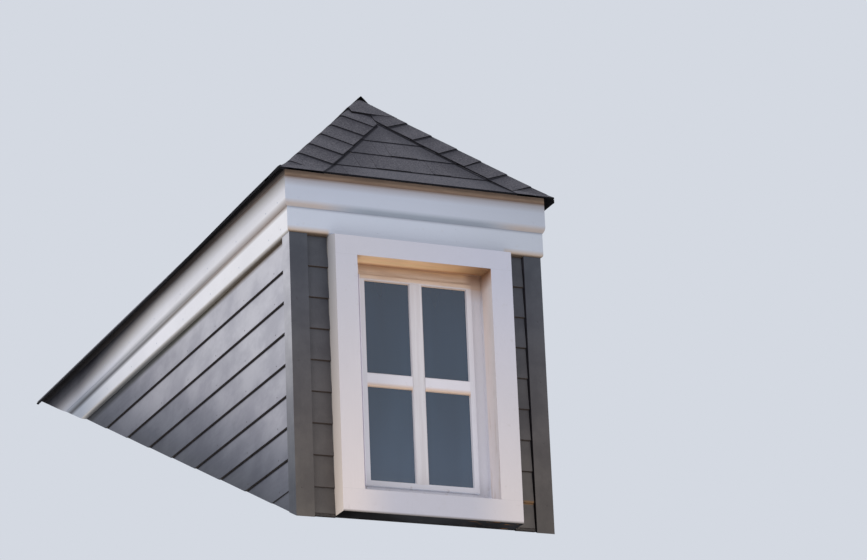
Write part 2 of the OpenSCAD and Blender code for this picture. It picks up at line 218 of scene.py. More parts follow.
# %% Write shader sums as Python
class Signal:
    """A shader socket that Python sums can use: each operator adds one Math node to its tree."""

    def __init__(self, socket):
        self.socket = socket
        self.tree = socket.id_data

    def add(self, kind, settings=None, inputs=None, output=0):
        """Adds a node of any kind: first its settings, then the values or links of its sockets."""
        node = self.tree.nodes.new("ShaderNode" + kind)
        for name, value in (settings or {}).items():
            setattr(node, name, value)
        for name, value in (inputs or {}).items():
            if isinstance(value, Signal):
                self.tree.links.new(value.socket, node.inputs[name])
            else:
                node.inputs[name].default_value = value
        return Signal(node.outputs[output])

    def math(self, operation, *values):
        return self.add("Math", {"operation": operation}, dict(enumerate(values)))

    def __add__(self, other):
        return self.math("ADD", self, other)

    def __radd__(self, other):
        return self.math("ADD", other, self)

    def __sub__(self, other):
        return self.math("SUBTRACT", self, other)

    def __rsub__(self, other):
        return self.math("SUBTRACT", other, self)

    def __mul__(self, other):
        return self.math("MULTIPLY", self, other)

    def __rmul__(self, other):
        return self.math("MULTIPLY", other, self)

    def __abs__(self):
        return self.math("ABSOLUTE", self)

    def larger(self, other):
        return self.math("MAXIMUM", self, other)

    def between(self, low, high):
        """Goes smoothly from 0 at low to 1 at high, whichever of them is the larger."""
        inputs = {"Value": self, "From Min": low, "From Max": high}
        return self.add("MapRange", {"interpolation_type": "SMOOTHSTEP"}, inputs)

    def ramp(self, low, high):
        """Goes evenly from 0 at low to 1 at high."""
        return self.add("MapRange", {}, {"Value": self, "From Min": low, "From Max": high})

    def mix(self, first, second):
        """A colour that goes from first to second as this value goes from 0 to 1."""
        return self.add("Mix", {"data_type": "RGBA"}, {0: self, 6: first, 7: second}, 2)

    def tint(self, colour, chip):
        """The colour times a chip where this value is 1, as a thin stain darkens it."""
        settings = {"data_type": "RGBA", "blend_type": "MULTIPLY"}
        return self.add("Mix", settings, {0: self, 6: colour, 7: paint(*chip)}, 2)

    def stretched(self, scale, turn=(0, 0, 0)):
        """Coordinates turned by the angles, then scaled, so that a pattern runs along a board."""
        turned = self.add("Mapping", {}, {"Vector": self, "Rotation": turn})
        return turned.add("Mapping", {}, {"Vector": turned, "Scale": scale})

    def noise(self, scale, detail=2.0, rough=0.5, distortion=0.0):
        """Clouds of the given size per metre, around 0.5."""
        inputs = {"Vector": self, "Scale": scale, "Detail": detail, "Roughness": rough}
        return self.add("TexNoise", {}, {**inputs, "Distortion": distortion})

    def axes(self):
        """The three numbers of a place or a direction."""
        first = self.add("SeparateXYZ", {}, {"Vector": self})
        return [Signal(output) for output in first.socket.node.outputs]

    def stored(self, name):
        """A number that is stored with the mesh's points."""
        return self.add("Attribute", {"attribute_name": name}, {}, "Fac")

    def towards(self, sign):
        """1 where a surface faces along an axis, for the share of that axis in its normal."""
        return self.between(sign * 0.4, sign * 0.7)


print("one class wraps a socket")

# %% [markdown]
# A chip is a paint colour named by its red, green and blue. Most chips here were set against the
# photo: scratch measurements along a board gave its colour and the light that the scene throws on it,
# and so the paint it should have. They were then changed until photo and render agreed.
# Where dirt or damp changes a board along its length, a few chips follow one another as stops.

# %% Chips, coats and new finishes
def paint(r, g, b):
    """A paint chip as the eye reads it, from 0 to 255, made linear for the shader."""
    chip = np.array([r, g, b]) / 255
    linear = np.where(chip <= 0.04045, chip / 12.92, ((chip + 0.055) / 1.055) ** 2.4)
    return (*linear.tolist(), 1)


def new_finish(name):
    """A material with one Principled shader: both, the place of each point and which way it faces."""
    material = bpy.data.materials.new(name)
    material.use_nodes = True
    tree = material.node_tree
    coordinates = tree.nodes.new("ShaderNodeTexCoord").outputs
    place, facing = Signal(coordinates["Object"]), Signal(coordinates["Normal"])
    return material, tree.nodes["Principled BSDF"], place, facing


def wire(shader, **inputs):
    """Sets or links the shader's sockets. An underscore in a name stands for a space."""
    for name, value in inputs.items():
        socket = shader.inputs[name.replace("_", " ")]
        if isinstance(value, Signal):
            value.tree.links.new(value.socket, socket)
        else:
            socket.default_value = value


def bump(height, distance, strength=1.0):
    """A normal from a height, in metres."""
    return height.add("Bump", {}, {"Height": height, "Distance": distance, "Strength": strength})


def layered(colour, *coats):
    """Lays coats over a colour: each is a mask from 0 to 1 and the chip that shows where it is 1."""
    for mask, chip in coats:
        colour = mask.mix(colour, paint(*chip))
    return colour


def stops(value, *pairs):
    """A colour that passes through one chip after another as the value goes through their places."""
    colour = paint(*pairs[0][1])
    for (start, _), (end, chip) in zip(pairs, pairs[1:]):
        colour = value.ramp(start, end).mix(colour, paint(*chip))
    return colour


print("shader sums are ready")

# %% [markdown]
# The trim is white house paint on planed boards. Close up it has brush marks along the board, faint
# patches where the coats differ, and specks of dust.
# Paint never stays one white, and light and shade are painted on it too. Under the roof's edge it is
# painted darker, as shade under the overhang with some dirt; the rounded lower edges are painted tan
# where warm light from below falls on them and grey where they lie in shade; and the boards are
# painted darker towards the main roof, as shade. Each of these is a mask made from the place on the
# board or from the way its surface faces, with a chip of its own.

# %% Brushed paint
DULL, DUST = paint(150, 152, 160), paint(150, 140, 130)
# The front's whites are greyer and bluer than the cheeks', as painted shade.
FRIEZE_CHIP, FASCIA_CHIP = (178, 184, 199), (171, 177, 193)
BRUSH_DEPTH = 0.0006


def brushed(shader, place, brush, colour, gloss=0.3, rough=0.42):
    """House paint on wood: the brush vector is short along the board, which draws the marks out
    along it."""
    strokes = place.stretched(brush).noise(60, 3, 0.6)
    patches = place.noise(1.7, 3, 0.6).between(0.3, 0.7)
    specks = place.noise(34, 3, 0.6).between(0.62, 0.78)
    aged = (0.10 * patches).mix(colour, DULL)
    spotted = (0.14 * specks).mix(aged, DUST)
    wire(shader, Base_Color=spotted, Roughness=rough + 0.14 * strokes)
    wire(shader, Normal=bump(strokes, BRUSH_DEPTH), Specular_IOR_Level=gloss)


def on_fascia(z):
    """1 on the fascia and 0 on the frieze below it."""
    return z.between(FASCIA_Z - 0.001, FASCIA_Z + 0.001)


def front_trim_finish():
    """Frieze and fascia of the front. The fascia's round is painted tan at both ends, as warm light from
    below, and grey between, as shade where the casing blocks that light. Under the eave the paint is
    darker, as painted shade with some dirt, and the frieze's foot on both sides of the casing is
    painted tan with warm light above a painted shadow line."""
    material, shader, place, _ = new_finish("white_trim_front")
    x, _, z = place.axes()
    fascia = on_fascia(z)
    frieze = 1 - fascia
    # The fascia's round is painted tan at its ends, as warm light from below, and grey over the casing,
    # as painted shade where the casing blocks that light.
    ends = x.between(-0.24, -0.52) + x.between(0.30, 0.54)
    edge_light_and_shade = fascia * z.ramp(FASCIA_Z + 0.036, FASCIA_Z + 0.013)
    beside_casing = abs(x).between(CASING_X - 0.01, CASING_X + 0.01)
    # Painted shade: darker under the eave, with some dirt, grey on the frieze's top under the fascia,
    # and a dark line at the frieze's foot. Painted warm light: the tan on the frieze's foot beside the
    # casing.
    colour = layered(fascia.mix(paint(*FRIEZE_CHIP), paint(*FASCIA_CHIP)),
                     (z.ramp(STRIP_Z - 0.046, STRIP_Z - 0.002), (148, 142, 148)),
                     (z.ramp(STRIP_Z - 0.012, STRIP_Z), (132, 117, 110)),
                     (edge_light_and_shade * ends, (171, 159, 155)),
                     (edge_light_and_shade * (1 - ends), (136, 144, 157)),
                     (frieze * z.ramp(FASCIA_Z - 0.013, FASCIA_Z - 0.001), (146, 151, 165)),
                     (beside_casing * z.ramp(FRIEZE_Z + 0.030, FRIEZE_Z + 0.006), (174, 155, 140)),
                     (beside_casing * z.ramp(FRIEZE_Z + 0.007, FRIEZE_Z + 0.001), (112, 91, 71)))
    colour = x.ramp(0.05, 0.65).tint(colour, (241, 241, 240))
    brushed(shader, place, (0.04, 1, 1), colour)
    return material


FRONT_TRIM = front_trim_finish()
print("trim paint has", len(FRONT_TRIM.node_tree.nodes), "nodes on the front")

# %% [markdown]
# The cheeks' trim is the same kind of board, and in the photo it looks lighter and dirtier: its white
# is painted lighter than the front's, as painted light. Painted shade from the eave, with some dirt,
# reaches further down it towards the main roof, and the frieze is painted darker at its back end. A
# painted shade lies on the round of the fascia's lower edge, and sinks a little on the way back.

# %% Trim of the cheeks
def painted_shade_line(z, y, edge):
    """A painted shade along a cheek board's lower edge, 1 at its middle. It sinks towards the back."""
    middle = edge + 0.001 - 0.0105 * y
    above = z - middle
    return above.ramp(0.036, 0.002) * above.ramp(-0.025, -0.004)


def cheek_trim_finish():
    """The same boards on the cheeks: painted shade from the eave, with some dirt, reaches further down
    towards the back.
    """
    material, shader, place, facing = new_finish("white_trim_cheek")
    x, y, z = place.axes()
    fascia = on_fascia(z)
    reach = 0.012 + 0.020 * y.ramp(0.5, 1.8) + 0.080 * y.ramp(1.75, 3.05)
    ragged = 0.008 * (place.stretched((1, 0.3, 1)).noise(14, 3, 0.6) - 0.5)
    below_shade_and_dirt = STRIP_Z - z - reach + ragged
    # The fascia is painted darker under the eave, as shade with some dirt, further down towards the
    # back.
    fascia_paint = stops(below_shade_and_dirt,
                         (-0.085, (36, 34, 39)), (-0.055, (66, 64, 67)), (-0.028, (112, 108, 109)),
                         (0.0, (155, 151, 151)), (0.03, (192, 190, 194)),
                         (0.058, (217, 216, 223)), (0.09, (225, 224, 230)))
    fascia_paint = y.ramp(2.2, 3.05).tint(fascia_paint, (240, 245, 255))
    fascia_paint = y.ramp(1.6, 0.5).tint(fascia_paint, (243, 243, 243))
    # The frieze is painted darker at its back end, as shade near the main roof.
    frieze_paint = stops(y, (0.5, (225, 224, 229)), (1.9, (234, 233, 240)),
                         (2.5, (216, 217, 225)), (3.05, (167, 173, 186)))
    # Painted shade along the fascia's lower round and the top of the frieze below it.
    edge_light_and_shade = stops(y, (0.5, (154, 143, 138)), (1.2, (128, 120, 114)), (1.85, (114, 111, 111)),
                 (2.5, (108, 108, 114)), (3.05, (84, 86, 91)))
    # The frieze's lower round and underside are painted dark, as shade.
    underside = facing.axes()[2].towards(-1) * z.between(FASCIA_Z - 0.02, FASCIA_Z - 0.04)
    inner_foot = stops(y, (0.5, (106, 94, 80)), (1.1, (150, 143, 134)), (1.9, (140, 138, 137)))
    foot = abs(x).ramp(FRIEZE_X, SHEATH_X + 0.016).mix(paint(212, 207, 203), inner_foot)
    colour = fascia.mix(frieze_paint, fascia_paint)
    colour = painted_shade_line(z, y, FASCIA_Z).mix(colour, edge_light_and_shade)
    colour = z.ramp(FRIEZE_Z + 0.010, FRIEZE_Z - 0.002).mix(colour, paint(206, 201, 198))
    colour = underside.mix(colour, foot)
    brushed(shader, place, (1, 0.04, 1), colour, 0.06, 0.6)
    return material


CHEEK_TRIM = cheek_trim_finish()
print("trim paint has", len(CHEEK_TRIM.node_tree.nodes), "nodes on the cheeks")

# %% [markdown]
# The casing is a box of wide boards around the window. Its faces are painted cooler at the top and
# warmer near the main roof, as warm light from below. Painted warm light from below tints its head's
# underside orange, darker to the right, and its return towards the cheek is painted grey above and
# warm below in the same way. Its underside is painted nearly black, as shade, with a few painted
# glints.

# %% Casing paint
def casing_finish():
    """Coats by face: the front, the return on the left, the jamb on the right, and the undersides of
    the head and of the sill."""
    material, shader, place, facing = new_finish("white_casing")
    x, y, z = place.axes()
    nx, _, nz = facing.axes()
    low = z.ramp(1.2, 0.1)
    left = x.ramp(0.3, -0.3)
    outward = y.ramp(SHEATH_Y - 0.02, CASING_Y)
    to_left = nx.towards(-1)
    return_left = to_left * x.between(0, -0.1)
    jamb_right = to_left * x.between(0, 0.1)
    under = nz.towards(-1)
    head_under = under * z.between(0.5, 0.6)
    sill_under = under * z.between(0.5, 0.4)
    # The front is painted cooler above and warmer below, as warm light from below.
    upper = left.mix(paint(180, 181, 196), paint(184, 183, 194))
    lower = left.mix(paint(203, 194, 195), paint(205, 195, 195))
    sill_middle = z.between(OPENING_LOW + 0.002, OPENING_LOW - 0.002) * abs(x).between(0.42, 0.16)
    streaks = place.stretched((1, 1, 0.12)).noise(42, 3, 0.6).between(0.5, 0.75)
    rows = place.stretched((0.12, 1, 1)).noise(46, 3, 0.6).between(0.35, 0.65)
    glints = place.stretched((0.25, 1, 1)).noise(60, 2, 0.5).between(0.6, 0.7)
    joints = sum(abs(z - level).between(0.0012, 0.0004) for level in (OPENING_LOW, OPENING_TOP))
    # The left return is painted grey above and warm below, and the right jamb warm near the head, as
    # painted light from below.
    side = low.mix(outward.mix(paint(147, 145, 148), paint(174, 172, 177)),
                   outward.mix(paint(202, 188, 178), paint(212, 198, 189)))
    jamb = low.mix(outward.mix(paint(210, 193, 186), paint(192, 185, 186)),
                   outward.mix(paint(214, 206, 209), paint(195, 186, 188)))
    # The head's underside is painted orange, as warm light from below, darker to the right.
    ceiling = stops(y, (CASING_Y, (246, 204, 164)), (-0.125, (255, 208, 158)),
                    (-0.095, (255, 215, 163)), (-0.075, (255, 209, 160)), (SHEATH_Y, (204, 156, 114)))
    ceiling = x.ramp(-0.05, 0.20).tint(ceiling, (224, 213, 204))
    ceiling = x.ramp(0.18, 0.30).tint(ceiling, (172, 164, 156))
    colour = layered(low.mix(upper, lower),
                     (sill_middle, (180, 178, 188)),
                     (z.ramp(CASING_Z + 0.011, CASING_Z), (104, 96, 90)),
                     (0.15 * joints, (110, 108, 112)))
    colour = jamb_right.mix(return_left.mix(colour, side), jamb)
    colour = head_under.mix(colour, ceiling)
    # Painted warm light on the jamb's top and the head's underside; the sill's underside is painted
    # nearly black, as shade, with painted glints.
    colour = layered(colour,
                     (jamb_right * low * streaks * 0.5, (165, 144, 128)),
                     (jamb_right * z.ramp(1.12, 1.2), (158, 116, 82)),
                     (0.18 * head_under * rows, (190, 140, 98)),
                     (0.8 * head_under * x.between(-0.30, -OPENING_X), (184, 146, 112)),
                     (sill_under, (10, 7, 5)),
                     (sill_under * glints * x.between(0.16, 0.24), (120, 78, 30)))
    brushed(shader, place, (1, 1, 0.06), colour, 0.0, 0.6)
    return material


CASING = casing_finish()
print("casing paint has", len(CASING.node_tree.nodes), "nodes")

# %% [markdown]
# Frame, sash and bars lie deep in the casing. Their paint is nearly one white: stained brown at the
# head, with painted shade at its right end. Warm light from below is painted under the level bar and
# on the upper undersides, and the foot and the lower undersides are painted lighter and cool.

# %% Window paint
LEVEL_BAR_Z = 0.6515
HEAD_STAIN_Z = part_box("glass")[1].z
BAR_EDGE, PANES_END = (0.034, 0.030), (0.262, 0.257)


def window_paint_finish():
    """Frame, sash and bars: the head is stained brown in streaks, and the level bar's foot is painted
    warm, as warm light from below.
    """
    material, shader, place, facing = new_finish("white_window")
    x, _, z = place.axes()
    under = facing.axes()[2].towards(-1)
    from_bar = abs(z - LEVEL_BAR_Z)
    half_height = HEAD_STAIN_Z - LEVEL_BAR_Z
    base = z.ramp(0.9, 0.1).mix(paint(197, 193, 200), paint(198, 197, 207))
    upright = abs(x).between(*BAR_EDGE) * from_bar.between(half_height, half_height - 0.006)
    over_panes = abs(x).between(*PANES_END)
    level = from_bar.between(*BAR_EDGE) * over_panes
    foot = z.between(0.130, 0.112)
    brush_lines = place.stretched((1, 1, 0.04)).noise(75, 3, 0.6).between(0.35, 0.65)
    rows = place.stretched((0.1, 1, 1)).noise(52, 3, 0.6).between(0.35, 0.65)
    stain = stops(z, (1.15, (208, 185, 166)), (1.18, (206, 181, 160)), (1.205, (198, 157, 117)))
    head = z.between(HEAD_STAIN_Z - 0.008, HEAD_STAIN_Z + 0.006)
    right_end = x.between(0.24, 0.30) * z.ramp(1.08, 1.17)
    damp = place.noise(26, 3, 0.6).between(0.62, 0.72) * z.between(0.2, 0.16)
    below_bar = LEVEL_BAR_Z - z
    bar_foot = below_bar.between(0.01, 0.028) * below_bar.between(0.05, 0.04)
    colour = head.mix(base, stain)
    dim_end = stops(z, (1.15, (180, 154, 138)), (1.20, (140, 104, 78)))
    # Painted light: undersides lighter, and warm in the upper half and near the head; the foot lighter
    # and cool; the frame's left edge lighter where shade falls on it; and warm under the level bar.
    colour = layered(colour,
                     (0.5 * head * rows, (170, 138, 114)),
                     (level, (206, 202, 210)),
                     (upright, (199, 195, 200)),
                     (0.4 * upright * brush_lines, (176, 168, 172)),
                     (x.between(-0.280, -0.286), (236, 232, 242)),
                     (foot, (222, 236, 255)),
                     (0.9 * bar_foot * (1 - upright) * over_panes, (197, 172, 156)),
                     (under, (250, 252, 255)),
                     (under * z.between(0.55, 0.6), (224, 194, 170)),
                     (under * z.between(1.195, 1.203), (180, 134, 98)),
                     (0.4 * damp, (140, 124, 112)))
    # The head's right end is painted darker, as shade.
    colour = right_end.mix(colour, dim_end)
    brushed(shader, place, (1, 1, 0.08), colour)
    return material


WINDOW_PAINT = window_paint_finish()
print("window paint has", len(WINDOW_PAINT.node_tree.nodes), "nodes")

# %% [markdown]
# The walls are one grey, but the cheeks are painted much lighter than the front, as a painted sheen
# where the sky glances off them. They are painted darker towards the main roof, as shade where its
# shingles throw no light back. The lap lines are painted shadows under the butts: nearly black on the
# cheeks and soft brown on the front.

# %% Grey wall paint
def wall_grey_finish(name, brush, corner=False):
    """Front and cheeks by the way they face, the cheeks painted lighter as sheen. A cheek's grey follows
    its height over the main roof, painted darker low down as shade, and a corner board's its height
    alone."""
    material, shader, place, facing = new_finish(name)
    x, y, z = place.axes()
    nx, _, nz = facing.axes()
    lit = z - ROOF_RISE * y + 0.27 * place.stored("tone")
    cheek = abs(nx).towards(1)
    grain = place.stretched(brush).noise(70, 4, 0.6, 0.4)
    patches = place.stretched((1, 0.6, 1)).noise(5, 4, 0.62).between(0.35, 0.65)
    # The cheeks' grey is painted light high up, as sheen, and dark near the main roof, as shade.
    cheek_grey = stops(lit, (0.0, (74, 76, 84)), (0.12, (92, 94, 104)), (0.27, (120, 121, 131)),
                       (0.45, (160, 159, 168)), (0.75, (182, 181, 189)), (1.15, (190, 189, 197)))
    if corner:
        cheek_grey = stops(z, (0.1, (77, 79, 86)), (0.34, (104, 105, 111)), (0.7, (156, 155, 160)),
                           (0.9, (179, 178, 184)), (1.2, (193, 192, 199)))
    front_grey = stops(z, (1.25, (70, 73, 81)), (1.0, (73, 74, 81)),
                       (0.35, (87, 82, 81)), (0.0, (91, 85, 81)))
    front_grey = (0.25 * place.stored("tone")).mix(front_grey, paint(74, 72, 74))
    painted = patches.tint(cheek.mix(front_grey, cheek_grey), (226, 226, 229))
    # Painted shadow: the line under each butt and the butt's own underside.
    line = cheek.mix(paint(70, 61, 57), paint(26, 26, 32))
    butt = cheek.mix(paint(64, 55, 51), paint(16, 16, 20))
    close = place.stored("shade").between(0.25, 0.75)
    colour = close.mix(painted, line)
    colour = nz.towards(-1).mix(colour, butt)
    if corner:
        # The corner board's inner side is painted dark, as shade.
        inner_side = cheek * abs(x).between(CORNER_X - 0.006, CORNER_X - 0.012)
        colour = inner_side.mix(colour, stops(z, (0.1, (24, 21, 22)), (1.1, (56, 54, 60))))
    else:
        # The boards just under the cheeks' frieze are painted dark, as shade.
        foot = stops(y, (0.6, (100, 88, 76)), (1.2, (78, 76, 67)),
                     (1.95, (72, 72, 72)), (2.6, (56, 57, 62)))
        rust = (1 - cheek) * x.between(0.475, 0.512) * abs(z - 0.111).between(0.012, 0.004)
        colour = rust.mix(colour, paint(116, 88, 62))
        under_frieze = cheek * (FRIEZE_Z - z - 0.0085 * y).ramp(0.028, 0.004)
        colour = under_frieze.mix(colour, foot)
    wire(shader, Base_Color=colour, Roughness=0.45 + 0.2 * grain, Normal=bump(grain, 0.0008))
    wire(shader, Specular_IOR_Level=0.15)
    return material


GREY_FRONT = wall_grey_finish("grey_siding_front", (0.05, 1, 1))
GREY_CHEEK = wall_grey_finish("grey_siding_cheek", (1, 0.05, 1))
GREY_CORNER = wall_grey_finish("grey_corner_board", (1, 1, 0.05), True)
print("grey paint has", len(GREY_FRONT.node_tree.nodes), "nodes")

# %% [markdown]
# Shingles are asphalt with mineral granules. Each has its own shade, the granules roughen it, and
# every cut edge and underside is near-black, partly the asphalt and partly painted shade. The field is
# darker in a wide band beside the caps, with a painted shadow along their edges, and another painted
# shadow lies below each butt.

# %% Shingle granules
CAP_HALF, CAP_SHIFT = 0.169, 0.009


def shingle_finish():
    """Granules on asphalt. Plan distance to the hip's line tells the caps' strip from the field, and
    the field is darker beside it, with a painted shadow along the caps' edges."""
    material, shader, place, facing = new_finish("shingle_granules")
    x, y, _ = place.axes()
    granule = place.add("TexVoronoi", {}, {"Vector": place, "Scale": 420}, "Color").axes()[0]
    blotch = place.noise(13, 4, 0.6)
    weather = place.noise(2.4, 3, 0.6)
    light = (0.4 * place.stored("tone") + 0.3 * blotch + 0.3 * weather).between(0.2, 0.8)
    base = light.mix(paint(60, 60, 69), paint(89, 90, 100))
    grit = place.noise(120, 3, 0.7).between(0.38, 0.66)
    speckled = (0.12 * granule + 0.36 * grit).mix(base, paint(132, 130, 137))
    inside_front = y - TIP_Y
    to_front = (TIP_X - abs(x) - inside_front) * math.sqrt(2 / 3)
    shift = CAP_SHIFT * (1 - 2 * x.between(-0.001, 0.001))
    outside = abs(to_front - shift) - CAP_HALF
    off_ridge = abs(x).between(0.114, 0.120).larger(to_front.between(-0.01, 0.0))
    field = off_ridge * outside.between(-0.006, 0.0)
    beside = field * outside.between(0.016, 0.006)
    darker_beside_caps = field * outside.ramp(0.15, 0.0)
    shade = place.stored("shade")
    close = shade.between(0.25, 0.75)
    cut_edge = facing.axes()[2].between(0.45, 0.2)
    # Darker in a wide band beside the caps; painted shadow as a soft darkening and a line below each
    # butt and along the caps' edges; cut edges and undersides near-black, partly asphalt and partly
    # painted shade.
    colour = layered(speckled,
                     (0.5 * darker_beside_caps.larger(shade.between(0.0, 0.24)), (38, 39, 48)),
                     (0.9 * close.larger(beside), (30, 30, 37)),
                     (cut_edge, (20, 19, 23)))
    wire(shader, Base_Color=colour, Roughness=0.9, Normal=bump(granule, 0.0012, 0.7))
    wire(shader, Specular_IOR_Level=0.1)
    return material


SHINGLE = shingle_finish()
print("shingles have", len(SHINGLE.node_tree.nodes), "nodes")

# %% [markdown]
# Bare wood shows in two places: a weathered strip above the fascia, and the frame inside.
# Its grain is stretched noise along the board, with a few knots. The strip is tan in bands along the
# front, with painted warm light on it. Along the cheeks it is painted dark, as shade under the eave,
# and darkens towards the back, with one dark line between its two plies.

# %% Bare wood and sheathing
def wood_grain(place, along):
    """Coarse and fine grain. Along holds a small number for the axis that the board runs along."""
    grain = place.stretched(along).noise(26, 5, 0.62, 0.8)
    fine = place.stretched(along).noise(160, 2, 0.5)
    return (0.7 * grain + 0.3 * fine).between(0.32, 0.68)


GRAIN_DEPTH = 0.0012


def framing_finish(name, along):
    """Sawn softwood with a few knots."""
    material, shader, place, _ = new_finish(name)
    shade = wood_grain(place, along)
    knots = place.stretched(along).noise(4.5, 1, 0.4).between(0.66, 0.74)
    body = shade.mix(paint(178, 140, 94), paint(214, 184, 140))
    colour = (0.6 * knots).mix(body, paint(110, 74, 44))
    wire(shader, Base_Color=colour, Roughness=0.72, Normal=bump(shade, GRAIN_DEPTH))
    return material


def strip_finish():
    """The bare strip over the fascia: bands by height on the front, and painted shade on a cheek,
    darker to the back.
    """
    material, shader, place, facing = new_finish("eave_strip_wood")
    _, y, z = place.axes()
    shade = wood_grain(place, (0.15, 0.15, 1))
    height = z - STRIP_Z
    cheek = abs(facing.axes()[0]).towards(1)
    front = stops(height, (0.0, (116, 96, 86)), (0.006, (138, 114, 99)),
                  (0.013, (162, 137, 118)), (0.024, (146, 124, 108)))
    # On a cheek the strip is painted dark, as shade under the eave, darker to the back and at its top.
    side = y.ramp(0.4, 3.1).mix(paint(124, 110, 103), paint(50, 47, 51))
    side = height.ramp(0.018, 0.045).mix(side, paint(80, 70, 67))
    colour = (0.5 * shade).tint(cheek.mix(front, side), (190, 184, 180))
    ply_line = abs(height - 0.012).between(0.003, 0.001)
    colour = layered(colour, (0.5 * cheek * ply_line, (60, 52, 48)))
    wire(shader, Base_Color=colour, Roughness=0.8, Normal=bump(shade, 0.001))
    return material


def sheathing_finish():
    """Board of glued flakes. At the eaves and at the foot it is painted dark, as shade under the
    overhang and in the recess at the foot.
    """
    material, shader, place, _ = new_finish("sheathing_flakes")
    x, y, z = place.axes()
    inputs = {"Vector": place.stretched((1, 0.35, 1)), "Scale": 26}
    flake = place.add("TexVoronoi", {}, inputs, "Color").axes()[0]
    grain = place.noise(120, 2, 0.5)
    fresh = (0.7 * flake + 0.3 * grain).mix(paint(156, 120, 76), paint(214, 182, 132))
    at_eave = abs(x).between(FASCIA_X - 0.012, FASCIA_X - 0.004).larger(y.between(-0.094, -0.100))
    at_foot = (z - ROOF_RISE * y).between(0.05, 0.02) * y.between(0.0, -0.03)
    # Painted shade: dark at the eaves' edges and in the recess at the foot.
    colour = layered(fresh, (at_eave.larger(at_foot), (34, 30, 30)))
    wire(shader, Base_Color=colour, Roughness=0.75, Normal=bump(flake, 0.001))
    return material


WOOD_X = framing_finish("framing_along_x", (0.06, 1, 1))
WOOD_Y = framing_finish("framing_along_y", (1, 0.06, 1))
WOOD_Z = framing_finish("framing_upright", (1, 1, 0.06))
STRIP = strip_finish()
SHEATHING = sheathing_finish()
print("wood and sheathing are made")

# %% [markdown]
# The glass looks blue-grey from outside, and it is painted darkest just under the head, as a painted
# reflection of the head. Roofing felt behind the siding is nearly black.

# %% Glass, felt and caulk
def glass_finish():
    """Blue-grey that darkens upward, as a painted reflection of the head, with soft upright bands, and
    only slightly see-through.
    """
    material, shader, place, _ = new_finish("window_glass")
    z = place.axes()[2]
    clouds = place.stretched((1, 1, 0.4)).noise(5, 2, 0.5).between(0.2, 0.8)
    bands = place.stretched((1, 1, 0.08)).noise(9, 2, 0.5).between(0.25, 0.75)
    # The darkening upward is a painted reflection of the head.
    depth = stops(z, (0.12, (70, 88, 110)), (0.2, (56, 74, 96)),
                  (0.62, (39, 59, 80)), (1.1, (31, 51, 73)))
    depth = (0.6 * bands).tint(depth, (206, 214, 222))
    colour = (0.5 * clouds).tint(depth, (214, 218, 222))
    wire(shader, Base_Color=colour, Roughness=0.22, Alpha=0.94, Normal=bump(clouds, 0.001))
    wire(shader, Specular_IOR_Level=0.3)
    material.surface_render_method = "BLENDED"
    return material


def felt_finish():
    """Matt felt with faint fibres."""
    material, shader, place, _ = new_finish("roofing_felt")
    fibre = place.noise(180, 3, 0.6)
    wire(shader, Base_Color=fibre.mix(paint(28, 28, 33), paint(44, 44, 50)), Roughness=0.9)
    return material


def caulk_finish():
    """Old caulk: a thin bead, dull with dirt, with small dark cracks."""
    material, shader, place, _ = new_finish("old_caulk")
    cracks = place.noise(90, 3, 0.7).between(0.6, 0.7)
    yellow = place.noise(6, 2, 0.5)
    colour = cracks.mix(yellow.mix(paint(98, 95, 95), paint(92, 84, 76)), paint(58, 54, 52))
    wire(shader, Base_Color=colour, Roughness=0.6)
    return material


GLASS = glass_finish()
FELT = felt_finish()
CAULK = caulk_finish()
print("glass, felt and caulk are made")

# %% [markdown]
# The frame's nodes come without a look. A table from finish to nodes says it once for all of them, so
# a missing node is easy to find. Nodes that new pieces replace get a finish as well.

# %% Give every frame node its finish
FINISH_OF = {
    FRONT_TRIM: ["frieze_front", "fascia_front"],
    CHEEK_TRIM: ["frieze_left", "frieze_right", "fascia_left", "fascia_right"],
    CASING: ["casing_head", "casing_sill", "casing_sides"],
    WINDOW_PAINT: ["window_frame", "sash"],
    GREY_CORNER: ["corner_board_left", "corner_board_right"],
    GREY_CHEEK: ["siding_left", "siding_right"],
    GREY_FRONT: ["siding_front"],
    SHINGLE: ["shingles_front", "shingles_left", "shingles_right",
              "hip_caps_left", "hip_caps_right", "ridge_caps"],
    STRIP: ["eave_strip"],
    WOOD_X: ["front_sill_timber", "window_header", "top_plate_front", "rafters_left", "rafters_right"],
    WOOD_Y: ["sole_plate_left", "sole_plate_right", "cheek_top_plates", "ridge_board", "rafters_front",
             "hip_rafters", "valley_sleepers"],
    WOOD_Z: ["front_studs", "cheek_studs_left", "cheek_studs_right"],
    SHEATHING: ["wall_sheathing_front", "wall_sheathing_left", "wall_sheathing_right",
                "roof_deck_front", "roof_deck_left", "roof_deck_right"],
    GLASS: ["glass"],
}
for finish, names in FINISH_OF.items():
    for name in names:
        mesh = frame["nodes"][name].data
        mesh.materials.clear()
        mesh.materials.append(finish)
print("finished", sum(len(names) for names in FINISH_OF.values()), "frame nodes")

# %% [markdown]
# Lap siding is laid from the bottom up: each board's thick lower edge, its butt, stands on the thin
# top of the board below. What shows is a saw-tooth, with a painted shadow line under each butt.
# One board is a wedge-shaped profile carried along the wall. On the cheeks it ends where the main
# roof cuts it off, so the end of each profile point depends on its height.

# %% The board's profile
LAP = 0.151
FIRST_BUTT = FRIEZE_Z - 0.154
BUTT_OUT, TOP_OUT = 0.016, 0.0045
HIDDEN_LAP = 0.03
BUTT_ROUND = 0.002
BACK_OUT = 0.0055
SHADED_CHEEK, SHADED_FRONT = 0.016, 0.006
LEAST_BOARD = 0.01
BELOW_ROOF = 0.08
BEHIND_CORNER = 0.002


